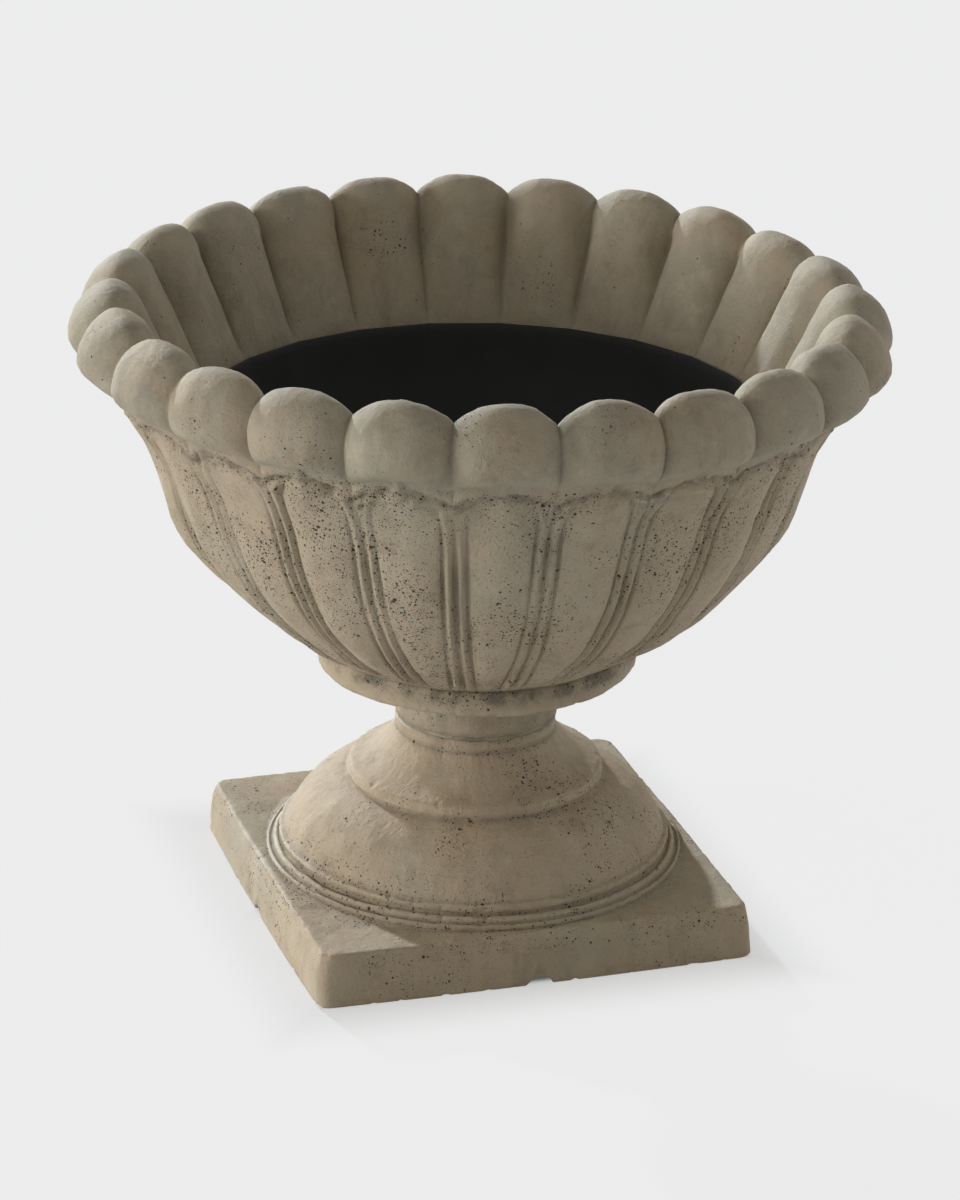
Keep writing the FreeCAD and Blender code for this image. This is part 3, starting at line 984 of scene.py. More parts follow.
@dataclass
class FlutedBowl:
    """The bowl casting: neck, collar, ribbed petals outside, rim lobes and inside flutes."""

    petals: int = 24
    turn: float = math.radians(1.27)
    face_columns: int = 8
    rib_columns: int = 12
    rib_band: float = 0.0090
    rib_height: float = 0.0021
    groove_depth: float = 0.0014
    petal_crown: float = 0.0028
    arch_foot: float = 0.392
    arch_top: float = 0.430
    chin: float = 0.4250
    chin_drop: float = 0.0105
    sag: float = 0.0064
    low_side: float = math.radians(-17.0)
    # The side where the collar's painted shade is deepest, away from the key light.
    shaded_side: float = math.radians(-85.0)
    lobes_beyond: float = 0.25
    soft_above: float = 0.23
    soft_beyond: float = 0.12
    loose_above: float = 0.156
    chin_groove: float = 0.0024
    chin_lip: float = 0.0008
    seam_depth: float = 0.0011
    foot_fade: Point = (0.2190, 0.2280)
    head_fade: Point = (0.446, 0.432)
    crown_fade: Point = (0.222, 0.264)
    lobe_drop: float = 0.0022
    lobe_nick: float = 0.0010
    lobe_lean: float = 0.0018
    lobe_skew: float = 0.0026
    petal_belly: float = 0.0014
    # Height and width of the painted shade round the collar, under the bowl's wall.
    collar_shade: Point = (0.2120, 0.0068)
    neck_dirt: Point = (0.160, 0.007)
    # Height and width of the thin painted shade line on the inside flutes along the liner's edge.
    liner_edge_shade: Point = (0.392, 0.006)
    skin: Unevenness = Unevenness(0.0042, 0.0030, 0.0011, 3.7)
    flakes: Flakes = Flakes(0.011, 0.034, 5, 0.7, 0.75, 0.0011, 1.6)
    seed: int = 11
    start: Point = (0.021, 0.154)
    stops: tuple[Stop, ...] = (
        Stop(0.061, 0.154, 1),
        Stop(0.061, 0.171, 3),
        Stop(0.061, 0.174, 3, 0.0012),
        Stop(0.058, 0.186, 3),
        Stop(0.1166, 0.1958, 4, -0.003),
        Stop(0.1206, 0.1998, 3, 0.0012),
        Stop(0.1206, 0.2140, 3),
        Stop(0.1182, 0.2158, 2),
        Stop(0.1226, 0.2186, 2),
        Stop(0.1376, 0.2280, 3, 0.0, 0.0, -0.001, Zone.WALL),
        Stop(0.194, 0.2750, 8, 0.0015, 0.001, 0.0, Zone.WALL),
        Stop(0.245, 0.366, 9, 0.0065, 0.0015, 0.0, Zone.WALL),
        Stop(0.2645, 0.4105, 7, -0.0015, 0.002, 0.006, Zone.WALL),
        Stop(0.2722, 0.4250, 6, -0.0010, 0.003, 0.0105, Zone.WALL),
        Stop(0.2848, 0.4385, 5, 0.0004, 0.012, 0.0095, Zone.LOBE),
        Stop(0.3046, 0.453, 5, 0.0034, 0.016, 0.005, Zone.LOBE),
        Stop(0.2728, 0.4938, 12, 0.008, 0.0, 0.0145, Zone.LOBE),
        Stop(0.248, 0.472, 7, 0.005, -0.0145, 0.0145, Zone.LOBE),
        Stop(0.2138, 0.3905, 8, 0.0, -0.0075, 0.0, Zone.FLUTE),
        Stop(0.2142, 0.3875, 1, 0.0, -0.0020, 0.0, Zone.HIDDEN),
        Stop(0.2165, 0.384, 1, zone=Zone.HIDDEN),
        Stop(0.114, 0.2345, 5, -0.021, zone=Zone.HIDDEN),
        Stop(0.104, 0.2285, 1, zone=Zone.HIDDEN),
        Stop(0.021, 0.2285, 1, zone=Zone.HIDDEN),
    )

    def petal(self) -> bpy.types.Mesh:
        """Make one petal, a closed loop of rows from valley to valley.

        Returns:
            The petal's mesh.
        """
        crest, valley = (trace(self.start, [stop.run(share) for stop in self.stops]) for share in (0.0, 1.0))
        crest, valley = (np.vstack([np.array([self.start]), rows]) for rows in (crest, valley))
        zones = [Zone.HIDDEN] + [stop.zone for stop in self.stops for _ in range(stop.rows)]
        power = np.array([zone.power for zone in zones])
        on_wall = np.array([float(zone is Zone.WALL) for zone in zones])
        shown = np.array([[float(zone is not Zone.HIDDEN)] for zone in zones])
        across = self._columns(crest[:, 0], on_wall)
        share = np.abs(across) ** power[:, None]
        outline = crest[:, None, :] + (valley - crest)[:, None, :] * share[..., None]
        along = np.roll(outline, -1, axis=0) - np.roll(outline, 1, axis=0)
        normal = np.stack([along[..., 1], -along[..., 0]], axis=-1)
        normal /= np.maximum(np.linalg.norm(normal, axis=-1, keepdims=True), TINY)
        relief = 0.5 * shown * self._relief(across, outline[..., 0], outline[..., 1])
        outline = outline + normal * relief[..., None]
        hold = (outline[:, 0, 1] < self.soft_above) & (outline[:, 0, 0] < self.soft_beyond)
        outline = soften(outline, hold.astype(float))
        angle = across * math.pi / self.petals
        radius, height = outline[..., 0], outline[..., 1]
        points = np.stack([radius * np.cos(angle), radius * np.sin(angle), height], axis=-1)
        mesh = grid_mesh("petal", points, True, False)
        store(mesh, "give", (shown * (height > self.loose_above)).ravel())
        return mesh

    def _columns(self, radius: np.ndarray, on_wall: np.ndarray) -> np.ndarray:
        """Where the columns run: most of them crowd into the ribs, whose width stays the same.

        Args:
            radius: Each row's radius.
            on_wall: 1 for the rows of the ribbed wall.

        Returns:
            Each point's place across the petal, from -1 to 1.
        """
        half = self.face_columns + self.rib_columns
        even = np.linspace(-1.0, 1.0, 2 * half + 1)[None, :]
        knee = self.face_columns / half
        groove = 1.0 - self.rib_band * 1.2 / (math.pi / self.petals * np.maximum(radius, 0.1))[:, None]
        far = np.abs(even)
        beyond = groove + (far - knee) / (1.0 - knee) * (1.0 - groove)
        crowded = np.where(far < knee, far / knee * groove, beyond)
        near = on_wall.copy()
        for _ in range(6):
            near = np.maximum(near, 0.86 * np.maximum(np.roll(near, 1), np.roll(near, -1)) * (radius > 0.11))
        near = near[:, None]
        return crowded * np.sign(even) * near + even * (1.0 - near)

    def _relief(self, across: np.ndarray, radius: np.ndarray, height: np.ndarray) -> np.ndarray:
        """How far the ribs, grooves and petals stand out from the wall.

        The two ribs of a valley run apart at the top, along the arched heads of the petals.

        Args:
            across: Each point's place across the petal.
            radius: Each point's distance from the axis.
            height: Each point's height.

        Returns:
            The relief in metres.
        """
        half = math.pi / self.petals * radius
        gap = (1.0 - np.abs(across)) * half
        reach = self.arch_top - self.arch_foot
        rise = np.clip((height + 0.004 * across**2 - self.arch_foot) / reach, 0.0, 1.0)
        band = half - np.sqrt(1.0 - rise**2) * (half - self.rib_band)
        crown = np.clip(1.0 - ((half - gap) / np.maximum(half - band, 0.002)) ** 2, 0.0, 1.0)
        crown = self.petal_crown * crown * ease(height, *self.crown_fade)
        rib_at = 0.5 * self.rib_band + 0.85 * (band - self.rib_band)
        ribs = self.rib_height * bump_at(gap, rib_at, 0.0017 + 0.0015 * rise) * (1.0 - ease(rise, 0.7, 1.0))
        edges = 0.0005 * bump_at(gap, band + 0.0021, 0.0013)
        grooves = bump_at(gap, band, 0.0012) * (1.0 - 0.45 * rise)
        grooves = self.groove_depth * (grooves + 1.1 * bump_at(gap, 0.0, 0.0013) * (1.0 - rise))
        line = self._chin_line(across)
        lobes = bump_at(height, line, 0.0026) * self.chin_groove
        lobes = lobes - bump_at(height, line - 0.0052, 0.0024) * self.chin_lip
        seam = self.seam_depth * bump_at(gap, 0.0, 0.0017)
        seam = seam * (ease(height, 0.428, 0.445) + ease(radius, 0.262, 0.245))
        wall = self.is_outside(radius, height) * ease(height, *self.foot_fade) * ease(height, *self.head_fade)
        return (crown + ribs + edges - grooves - lobes) * wall - seam * (height > 0.392).clip(0.0, 1.0)

    def _chin_line(self, across: np.ndarray) -> np.ndarray:
        """The height of the line under the lobes, which drops towards the valleys."""
        return self.chin - self.chin_drop * across**2

    @staticmethod
    def is_outside(radius: np.ndarray, height: np.ndarray) -> np.ndarray:
        """1 for points on the outside of the wall, and 0 for the rest."""
        return (radius > 0.62 * (height - 0.2) + 0.110).astype(float)

    def build(self, finishes: Finishes) -> bpy.types.Object:
        """Make the bowl.

        Args:
            finishes: The object's materials.

        Returns:
            The piece.
        """
        piece = drop_in("fluted_bowl", self.petal())
        skin = self.skin.inputs(finishes.by_slot[Slot.CONCRETE])
        petal_ring_tree().apply_to(piece, {"Count": self.petals, "Turn": self.turn, **skin})
        mesh = piece.data
        points = self._vary(positions(mesh), point_normals(mesh), recall(mesh, "give"))
        place_points(mesh, keep_inside(points, "bowl_casting"))
        ridge = read_wear(mesh)
        self.flakes.wear(mesh)
        store(mesh, "ridge", self._wear(points, ridge))
        store(mesh, "pitted", self._pitted(points))
        store(mesh, "tone", self._tone(points))
        store(mesh, "dirt_and_shade", self._dirt_and_shade(positions(mesh)))
        mesh.shade_smooth()
        return dress(piece, "bowl_casting", Body.STAND)

    def _place(self, points: np.ndarray) -> tuple[np.ndarray, np.ndarray]:
        """Which petal each point is on, and where across it.

        Args:
            points: The bowl's points.

        Returns:
            The petal's number, and the place across it from -1 to 1.
        """
        turns = (angle_of(points) - self.turn) / math.tau * self.petals
        number = np.round(turns).astype(int)
        return number % self.petals, (turns - number) * 2.0

    def _vary(self, points: np.ndarray, normals: np.ndarray, give: np.ndarray) -> np.ndarray:
        """Give each lobe and petal small differences of its own, as hand finishing leaves them.

        Args:
            points: The bowl's points.
            normals: Their normals.
            give: How far each point may move, from 0 to 1.

        Returns:
            The moved points.
        """
        rng = np.random.default_rng(self.seed)
        number, across = self._place(points)
        middle = 1.0 - np.abs(across) ** 3
        high = ease(points[:, 2], 0.415, 0.465)
        radius = radius_of(points)
        outward = points[:, :2] / radius[:, None]
        sizes = rng.uniform(0.0, 1.0, (self.petals, 5))[number]
        nicks = self.lobe_nick * np.clip(waves(points, 0.05, 3), 0.0, 1.0)
        drop = (self.lobe_drop * sizes[:, 0] * middle + nicks) * high
        drop = self._sag(points, drop)
        skew = self.lobe_skew * (sizes[:, 2] - 0.5) * across * middle
        lean = (self.lobe_lean * (sizes[:, 1] - 0.6) * middle + skew) * high
        belly = self.petal_belly * (sizes[:, 3] - 0.5) * middle
        belly = belly * ease(points[:, 2], 0.23, 0.26) * (1.0 - high)
        uneven = 0.42 + 0.65 * waves(points * (1.0, 1.0, 0.6), 0.07, 4) + 0.5 * (sizes[:, 4] - 0.5)
        relief = self._relief(across, radius, points[:, 2]) * np.clip(uneven, -0.2, 1.3)
        crumbs = self._crumbs(points, across, radius)
        moved = points + normals * (give * (relief + crumbs))[:, None]
        moved[:, :2] += outward * (give * (lean + belly))[:, None]
        moved[:, 2] -= drop * give
        return moved

    def _sag(self, points: np.ndarray, drop: np.ndarray) -> np.ndarray:
        """Let the rim stand lower on one side, as it does on the real casting.

        Args:
            points: The bowl's points.
            drop: How far each point is to move down.

        Returns:
            The drop with the rim's sag.
        """
        angle = angle_of(points) - self.low_side
        low = np.clip(np.cos(angle), 0.0, 1.0) ** 1.2
        high = np.clip(np.cos(angle - math.radians(100.0)), 0.0, 1.0)
        return drop * (1.0 - 0.85 * high) + self.sag * low * ease(points[:, 2], 0.385, 0.465)

    def _wear(self, points: np.ndarray, ridge: np.ndarray) -> np.ndarray:
        """How worn the skin is: most along the broken line under the lobes.

        Args:
            points: The bowl's points.
            ridge: How far each point stands out from its neighbours.

        Returns:
            A number from 0 to 1 for each point.
        """
        line = self._chin_line(self._place(points)[1]) - 0.0045
        broken = bump_at(points[:, 2], line, 0.0025) * (radius_of(points) > self.lobes_beyond)
        broken = broken * ease(waves(points, 0.06, 61), 0.1, 0.8)
        worn = ridge * (0.3 + 0.4 * ease(points[:, 2], 0.42, 0.45)) + 0.8 * broken
        return np.clip(worn, 0.0, 1.0)

    def _tone(self, points: np.ndarray) -> np.ndarray:
        """How sandy the skin's colour is: warm and pale on the wall, cooler on the lobes and inside."""
        wall = self.is_outside(radius_of(points), points[:, 2]) * ease(points[:, 2], 0.437, 0.423)
        return 0.15 + 0.75 * wall

    def _pitted(self, points: np.ndarray) -> np.ndarray:
        """Where air holes are common: low on the wall, less on the lobes and inside."""
        wall = self.is_outside(radius_of(points), points[:, 2]) * ease(points[:, 2], 0.437, 0.425)
        return np.clip(0.28 + 0.65 * wall * ease(points[:, 2], 0.20, 0.23), 0.0, 1.0)

    def _crumbs(self, points: np.ndarray, across: np.ndarray, radius: np.ndarray) -> np.ndarray:
        """Rough, broken casting skin along the line under the lobes.

        Args:
            points: The bowl's points.
            across: Their places across the petals.
            radius: Their distances from the axis.

        Returns:
            How far each point moves out, in metres.
        """
        near = bump_at(points[:, 2], self._chin_line(across) - 0.003, 0.0075) * (radius > self.lobes_beyond)
        return near * (0.0013 * waves(points, 0.008, 51) + 0.0012 * waves(points, 0.019, 52))

    def _dirt_and_shade(self, points: np.ndarray) -> np.ndarray:
        """Painted shade under the lobes, in the valleys along the ribs, round the collar and along the
        liner's edge, with a real dark patch on the neck; air holes gather there too.

        Args:
            points: The bowl's points.

        Returns:
            A number from 0 to 1 for each point.
        """
        across = self._place(points)[1]
        radius, height = radius_of(points), points[:, 2]
        outside = self.is_outside(radius, height)
        line = self._chin_line(across)
        # Painted shade under the overhanging lobes.
        chin = 0.75 * bump_at(height, line, 0.0034) + 0.4 * bump_at(height, line - 0.002, 0.0085)
        # Painted shade in the valleys between the petals.
        valley = ease(np.abs(across), 0.55, 0.85) * ease(height, 0.44, 0.40) * ease(height, 0.220, 0.234)
        # The collar's band is painted shade under the bowl's wall, deepest on the side away from the key
        # light.
        shade_weight = 0.65 + 0.35 * np.cos(angle_of(points) - self.shaded_side)
        collar = bump_at(height, *self.collar_shade) * (radius < 0.130) * shade_weight
        neck = bump_at(height, *self.neck_dirt) * (radius < 0.07) * ease(waves(points, 0.05, 9), 0.0, 0.6)
        # A thin line of painted shade on the inside flutes where they meet the liner.
        foot = bump_at(height, *self.liner_edge_shade) * (radius < 0.23)
        return np.clip((chin + 0.32 * valley) * outside + 2.1 * collar + 0.8 * neck + 0.5 * foot, 0.0, 2.0)


# ---------------------------------------------------------------- the pedestal


@dataclass
class Pedestal:
    """The pedestal casting: bowed square plinth, socle and lower neck, hollow underneath."""

    half_side: float = 0.1685
    bow: float = 0.003
    corner: float = 0.009
    columns: int = 736
    # The lit side, where the pale ridge wear is kept: partly a painted highlight.
    lit_side: float = math.radians(163.0)
    notch_radius: float = 0.011
    notch_drop: float = 0.003
    bore: float = 0.0213
    top: float = 0.151
    mouth: float = 0.128
    foot: float = 0.1582
    under_rows: int = 5
    tone: float = 0.75
    skin: Unevenness = Unevenness(0.0024, 0.0024, 0.0010, 8.2)
    flakes: Flakes = Flakes(0.009, 0.028, 15, 0.8, 0.7, 0.0012, 1.4)
    hollow: tuple[Stop, ...] = (
        Stop(0.0213, 0.100, 2),
        Stop(0.046, 0.100, 2),
        Stop(0.120, 0.048, 6, -0.010),
        Stop(0.128, 0.0, 8),
    )
    side: tuple[Point, ...] = (
        (0.0030, 0.0), (0.0008, 0.0006), (0.0, 0.0022), (0.0002, 0.0050), (0.0004, 0.0080), (0.0006, 0.0110),
        (0.0009, 0.0150), (0.0014, 0.0200), (0.0022, 0.0260), (0.0034, 0.0310), (0.0047, 0.0350),
        (0.0056, 0.0380), (0.0064, 0.0396), (0.0078, 0.0405), (0.0100, 0.0406),
    )
    top_rows: int = 7
    socle: tuple[Stop, ...] = (
        Stop(0.1584, 0.0430, 2, 0.0004),
        Stop(0.1570, 0.0448, 2, 0.0005),
        Stop(0.1550, 0.0440, 2, -0.0004),
        Stop(0.1538, 0.0452, 1),
        Stop(0.1524, 0.0482, 2, 0.0006),
        Stop(0.1506, 0.0486, 2, 0.0004),
        Stop(0.1484, 0.0480, 2, -0.0004),
        Stop(0.1478, 0.0512, 2, -0.0004),
        Stop(0.1490, 0.0546, 2, 0.0004),
        Stop(0.1476, 0.0566, 2, 0.0006),
        Stop(0.1454, 0.0570, 1),
        Stop(0.0974, 0.1026, 24, 0.008),
        Stop(0.0984, 0.1068, 3),
        Stop(0.0955, 0.112, 3),
        Stop(0.062, 0.139, 16, -0.004),
        Stop(0.061, 0.1402, 2),
        Stop(0.0610, 0.1500, 4),
        Stop(0.0598, 0.151, 1),
    )

    def _square(self) -> tuple[np.ndarray, np.ndarray]:
        """The plinth's outline at the floor.

        Returns:
            The columns' angles, and the outline's radius at each.
        """
        fine = np.linspace(0.0, math.tau, 40001)[:-1]
        share = np.maximum(np.abs(np.cos(fine)), np.abs(np.sin(fine)))
        flat = self.half_side / share
        away = np.minimum(np.abs(np.cos(fine)), np.abs(np.sin(fine))) * flat
        flat = flat + self.bow * (1.0 - (away / self.half_side) ** 2) / share
        inner = self.half_side - self.corner
        middle = inner * math.sqrt(2.0)
        off = (fine + math.pi / 4) % (math.pi / 2) - math.pi / 4
        off = math.pi / 4 - np.abs(off)
        inside = np.maximum(self.corner**2 - (middle * np.sin(off)) ** 2, 0.0)
        rounded = middle * np.cos(off) + np.sqrt(inside)
        radius = np.where((away > inner) & (inside > 0.0), np.minimum(rounded, flat), flat)
        track = np.concatenate([[0.0], np.cumsum(np.hypot(np.diff(radius), radius[1:] * np.diff(fine)))])
        goal = np.linspace(0.0, track[-1], self.columns, endpoint=False)
        angles = np.interp(goal, track, fine)
        return angles, np.interp(angles, fine, radius)

    def build(self, finishes: Finishes) -> bpy.types.Object:
        """Make the pedestal.

        Args:
            finishes: The object's materials.

        Returns:
            The piece.
        """
        angles, edge = self._square()
        inset, rise = np.array(self.side)[:, :1], np.array(self.side)[:, 1:]
        last, level = edge - self.side[-1][0], self.side[-1][1]
        under = np.linspace(0.2, 1.0, self.under_rows)[:-1, None] * (edge - self.side[0][0] - self.mouth)
        ways = np.linspace(0.0, 1.0, self.top_rows + 1)[1:, None] ** 1.3
        points = np.concatenate([
            turned(np.array([[self.bore, self.top]]), angles),
            turned(trace((self.bore, self.top), [stop.run(0.0) for stop in self.hollow]), angles),
            ring(under + self.mouth, np.zeros((self.under_rows - 1, 1)), angles),
            ring(edge - inset, rise, angles),
            ring(last + (self.foot - last) * ways, np.full((self.top_rows, 1), level), angles),
            turned(trace((self.foot, level), [stop.run(0.0) for stop in self.socle]), angles),
        ])
        points = self._cut_notches(points)
        mesh = grid_mesh("pedestal", points, True, True)
        radius, height = np.hypot(points[..., 0], points[..., 1]), points[..., 2]
        shown = (height > 0.0015) & (height < 0.1495) & (radius > 0.0605)
        store(mesh, "give", (shown & ((radius > 0.145) | (height > 0.115 - 0.4 * radius))).ravel())
        piece = drop_in("pedestal", mesh)
        skin_tree().apply_to(piece, self.skin.inputs(finishes.by_slot[Slot.CONCRETE]))
        mesh = piece.data
        read_wear(mesh)
        self.flakes.wear(mesh)
        place_points(mesh, keep_inside(positions(mesh), "pedestal_casting"))
        points = positions(mesh)
        # Ridge wear is weighted to the lit side, so the pale ridges are partly a painted highlight.
        weather = np.clip(0.3 + 0.7 * np.cos(angle_of(points) - self.lit_side), 0.15, 1.0)
        store(mesh, "ridge", recall(mesh, "ridge") * weather)
        store(mesh, "dirt_and_shade", self._dirt_and_shade(points))
        height = points[:, 2]
        pitted = 0.55 + 0.3 * bump_at(height, 0.062, 0.010) + 0.3 * bump_at(height, 0.033, 0.008)
        store(mesh, "pitted", pitted)
        store(mesh, "tone", np.full(len(points), self.tone))
        mesh.shade_smooth()
        return dress(piece, "pedestal_casting", Body.STAND)

    def _cut_notches(self, points: np.ndarray) -> np.ndarray:
        """Raise the foot over the four drain notches.

        Args:
            points: The pedestal's rows.

        Returns:
            The rows with the notches cut.
        """
        for side, beside in ((0, 1), (1, 0)):
            off = np.abs(points[..., beside])
            arch = np.sqrt(np.maximum(self.notch_radius**2 - off**2, 0.0)) - self.notch_drop
            foot = (np.abs(points[..., side]) > 0.12) & (points[..., 2] < arch)
            points[..., 2] = np.where(foot, arch, points[..., 2])
        return points

    def _dirt_and_shade(self, points: np.ndarray) -> np.ndarray:
        """Painted shade in the socle's creases and step, where it meets the plinth and round the neck, and a
        real dark band of dirt along the plinth's sides.
        """
        radius, height = radius_of(points), points[:, 2]
        # Painted shade where the socle meets the plinth, in its ring creases, at the bell's top step and
        # round the neck.
        edge = bump_at(radius, 0.1590, 0.003) * bump_at(height, 0.0410, 0.003)
        ledge = bump_at(height, 0.0442, 0.0020) * bump_at(radius, 0.1550, 0.0018)
        ledge = ledge + bump_at(height, 0.0488, 0.0026) * bump_at(radius, 0.1480, 0.0022)
        step = bump_at(height, 0.1035, 0.0025) * (radius > 0.09)
        neck = (bump_at(height, 0.141, 0.003) + 0.6 * bump_at(height, 0.150, 0.003)) * (radius < 0.07)
        # A real dark band of dirt along the plinth's sides.
        band = bump_at(height, 0.024, 0.012) * (radius > 0.15) * ease(waves(points, 0.12, 21), 0.1, 0.8)
        return np.clip(0.7 * edge + 0.8 * ledge + 0.7 * step + 0.7 * neck + 0.4 * band, 0.0, 1.0)


# ---------------------------------------------------------------- between the castings and inside the bowl


@dataclass
class NeckMortar:
    """The mortar bed between the two castings, smeared nearly flush with them."""

    radius: float = 0.0607
    bore: float = 0.021
    foot: float = 0.151
    top: float = 0.154
    squeeze: float = 0.0005
    rough: float = 0.0003
    columns: int = 360

    def build(self, finishes: Finishes) -> bpy.types.Object:
        """Make the mortar bed.

        Args:
            finishes: The object's materials.

        Returns:
            The piece.
        """
        runs = [
            Run(self.bore, self.foot, 3), Run(self.radius, self.foot, 8),
            Run(self.radius, self.top, 6, self.squeeze), Run(self.bore, self.top, 8),
        ]
        points = turned(trace((self.bore, self.top), runs), full_turn(self.columns))
        skin = points.reshape(-1, 3)
        rough = self.rough * waves(skin, 0.006, 31) + self.rough * waves(skin, 0.025, 32) - self.rough
        outer = radius_of(skin)
        skin[:, :2] *= (1.0 + rough * ease(outer, 0.045, 0.058) / outer)[:, None]
        mesh = grid_mesh("mortar", skin.reshape(points.shape), True, True)
        piece = present("neck_mortar", mesh, finishes.by_slot[Slot.MORTAR])
        return dress(piece, "neck_mortar_bed", Body.STAND)


@dataclass
class PlantingLiner:
    """The thin black liner that follows the bowl's inside."""

    base: float = 0.2288
    top: float = 0.3892
    rim: float = 0.2143
    wall: float = 0.0026
    corner: float = 0.1108
    hole: float = 0.012
    foot: float = 0.084
    foot_width: float = 0.006
    foot_height: float = 0.005
    gap: float = 0.018
    bulge: float = 0.021
    easing: float = 0.0006
    sides: int = 24
    turn: float = math.radians(1.27)
    columns: int = 288

    def build(self, finishes: Finishes) -> bpy.types.Object:
        """Make the liner.

        Args:
            finishes: The object's materials.

        Returns:
            The piece.
        """
        under = self.base + self.foot_height
        floor = under + self.wall
        inner, easing = self.rim - self.wall, self.easing
        runs = [
            Run(self.foot - self.foot_width, under, 4),
            Run(self.foot - self.foot_width + 0.0004, self.base, 4),
            Run(self.foot - 0.0004, self.base, 2),
            Run(self.foot, under, 4),
            Run(self.corner - 0.0012, under, 3),
            Run(self.corner, self.base + 0.0072, 2),
            Run(self.rim, self.top - easing, 34, self.bulge),
            Run(self.rim - easing, self.top, 1),
            Run(inner + easing, self.top, 1),
            Run(inner, self.top - easing, 1),
            Run(self.corner - self.wall, self.base + 0.0098, 34, -self.bulge),
            Run(self.corner - self.wall * 2, floor, 3),
            Run(self.hole + easing, floor, 12),
            Run(self.hole, floor - easing, 1),
            Run(self.hole, under, 2),
        ]
        angles = full_turn(self.columns)
        points = turned(trace((self.hole, under), runs), angles)
        side = math.tau / self.sides
        off = (angles - self.turn + side / 2) % side - side / 2
        flat = (1.0 - math.cos(side / 2) / np.cos(off)) * ease(points[..., 2], 0.35, 0.385)
        points[..., :2] *= (1.0 - flat)[..., None]
        foot = points[..., 2] < under - 1e-6
        for beside in (0, 1):
            open_here = foot & (np.abs(points[..., beside]) < self.gap / 2)
            points[..., 2] = np.where(open_here, under, points[..., 2])
        piece = present("liner", grid_mesh("liner", points, True, True), finishes.by_slot[Slot.LINER], 50.0)
        return dress(piece, "planting_liner", Body.LINER)


@dataclass
class DrainSleeve:
    """The plastic pipe cast into the bowl's floor."""

    outer: float = 0.021
    inner: float = 0.0185
    foot: float = 0.125
    top: float = 0.2275
    chamfer: float = 0.0007
    line_depth: float = 0.00004
    columns: int = 128

    def build(self, finishes: Finishes) -> bpy.types.Object:
        """Make the sleeve, with eased ends and fine drawing lines.

        Args:
            finishes: The object's materials.

        Returns:
            The piece.
        """
        ease_by = self.chamfer
        runs = [
            Run(self.inner + ease_by, self.foot, 2), Run(self.outer - ease_by, self.foot, 2),
            Run(self.outer, self.foot + ease_by, 2), Run(self.outer, self.top - ease_by, 24),
            Run(self.outer - ease_by, self.top, 2), Run(self.inner + ease_by, self.top, 2),
            Run(self.inner, self.top - ease_by, 2), Run(self.inner, self.foot + ease_by, 24),
        ]
        points = turned(trace((self.inner, self.foot + ease_by), runs), full_turn(self.columns))
        skin = points.reshape(-1, 3)
        lines = self.line_depth * (1.0 + waves(skin * (1.0, 1.0, 0.05), 0.004, 41))
        skin[:, :2] *= (1.0 - lines / self.outer)[:, None]
        mesh = grid_mesh("sleeve", skin.reshape(points.shape), True, True)
        piece = present("sleeve", mesh, finishes.by_slot[Slot.SLEEVE], 35.0)
        return dress(piece, "drain_sleeve", Body.STAND)


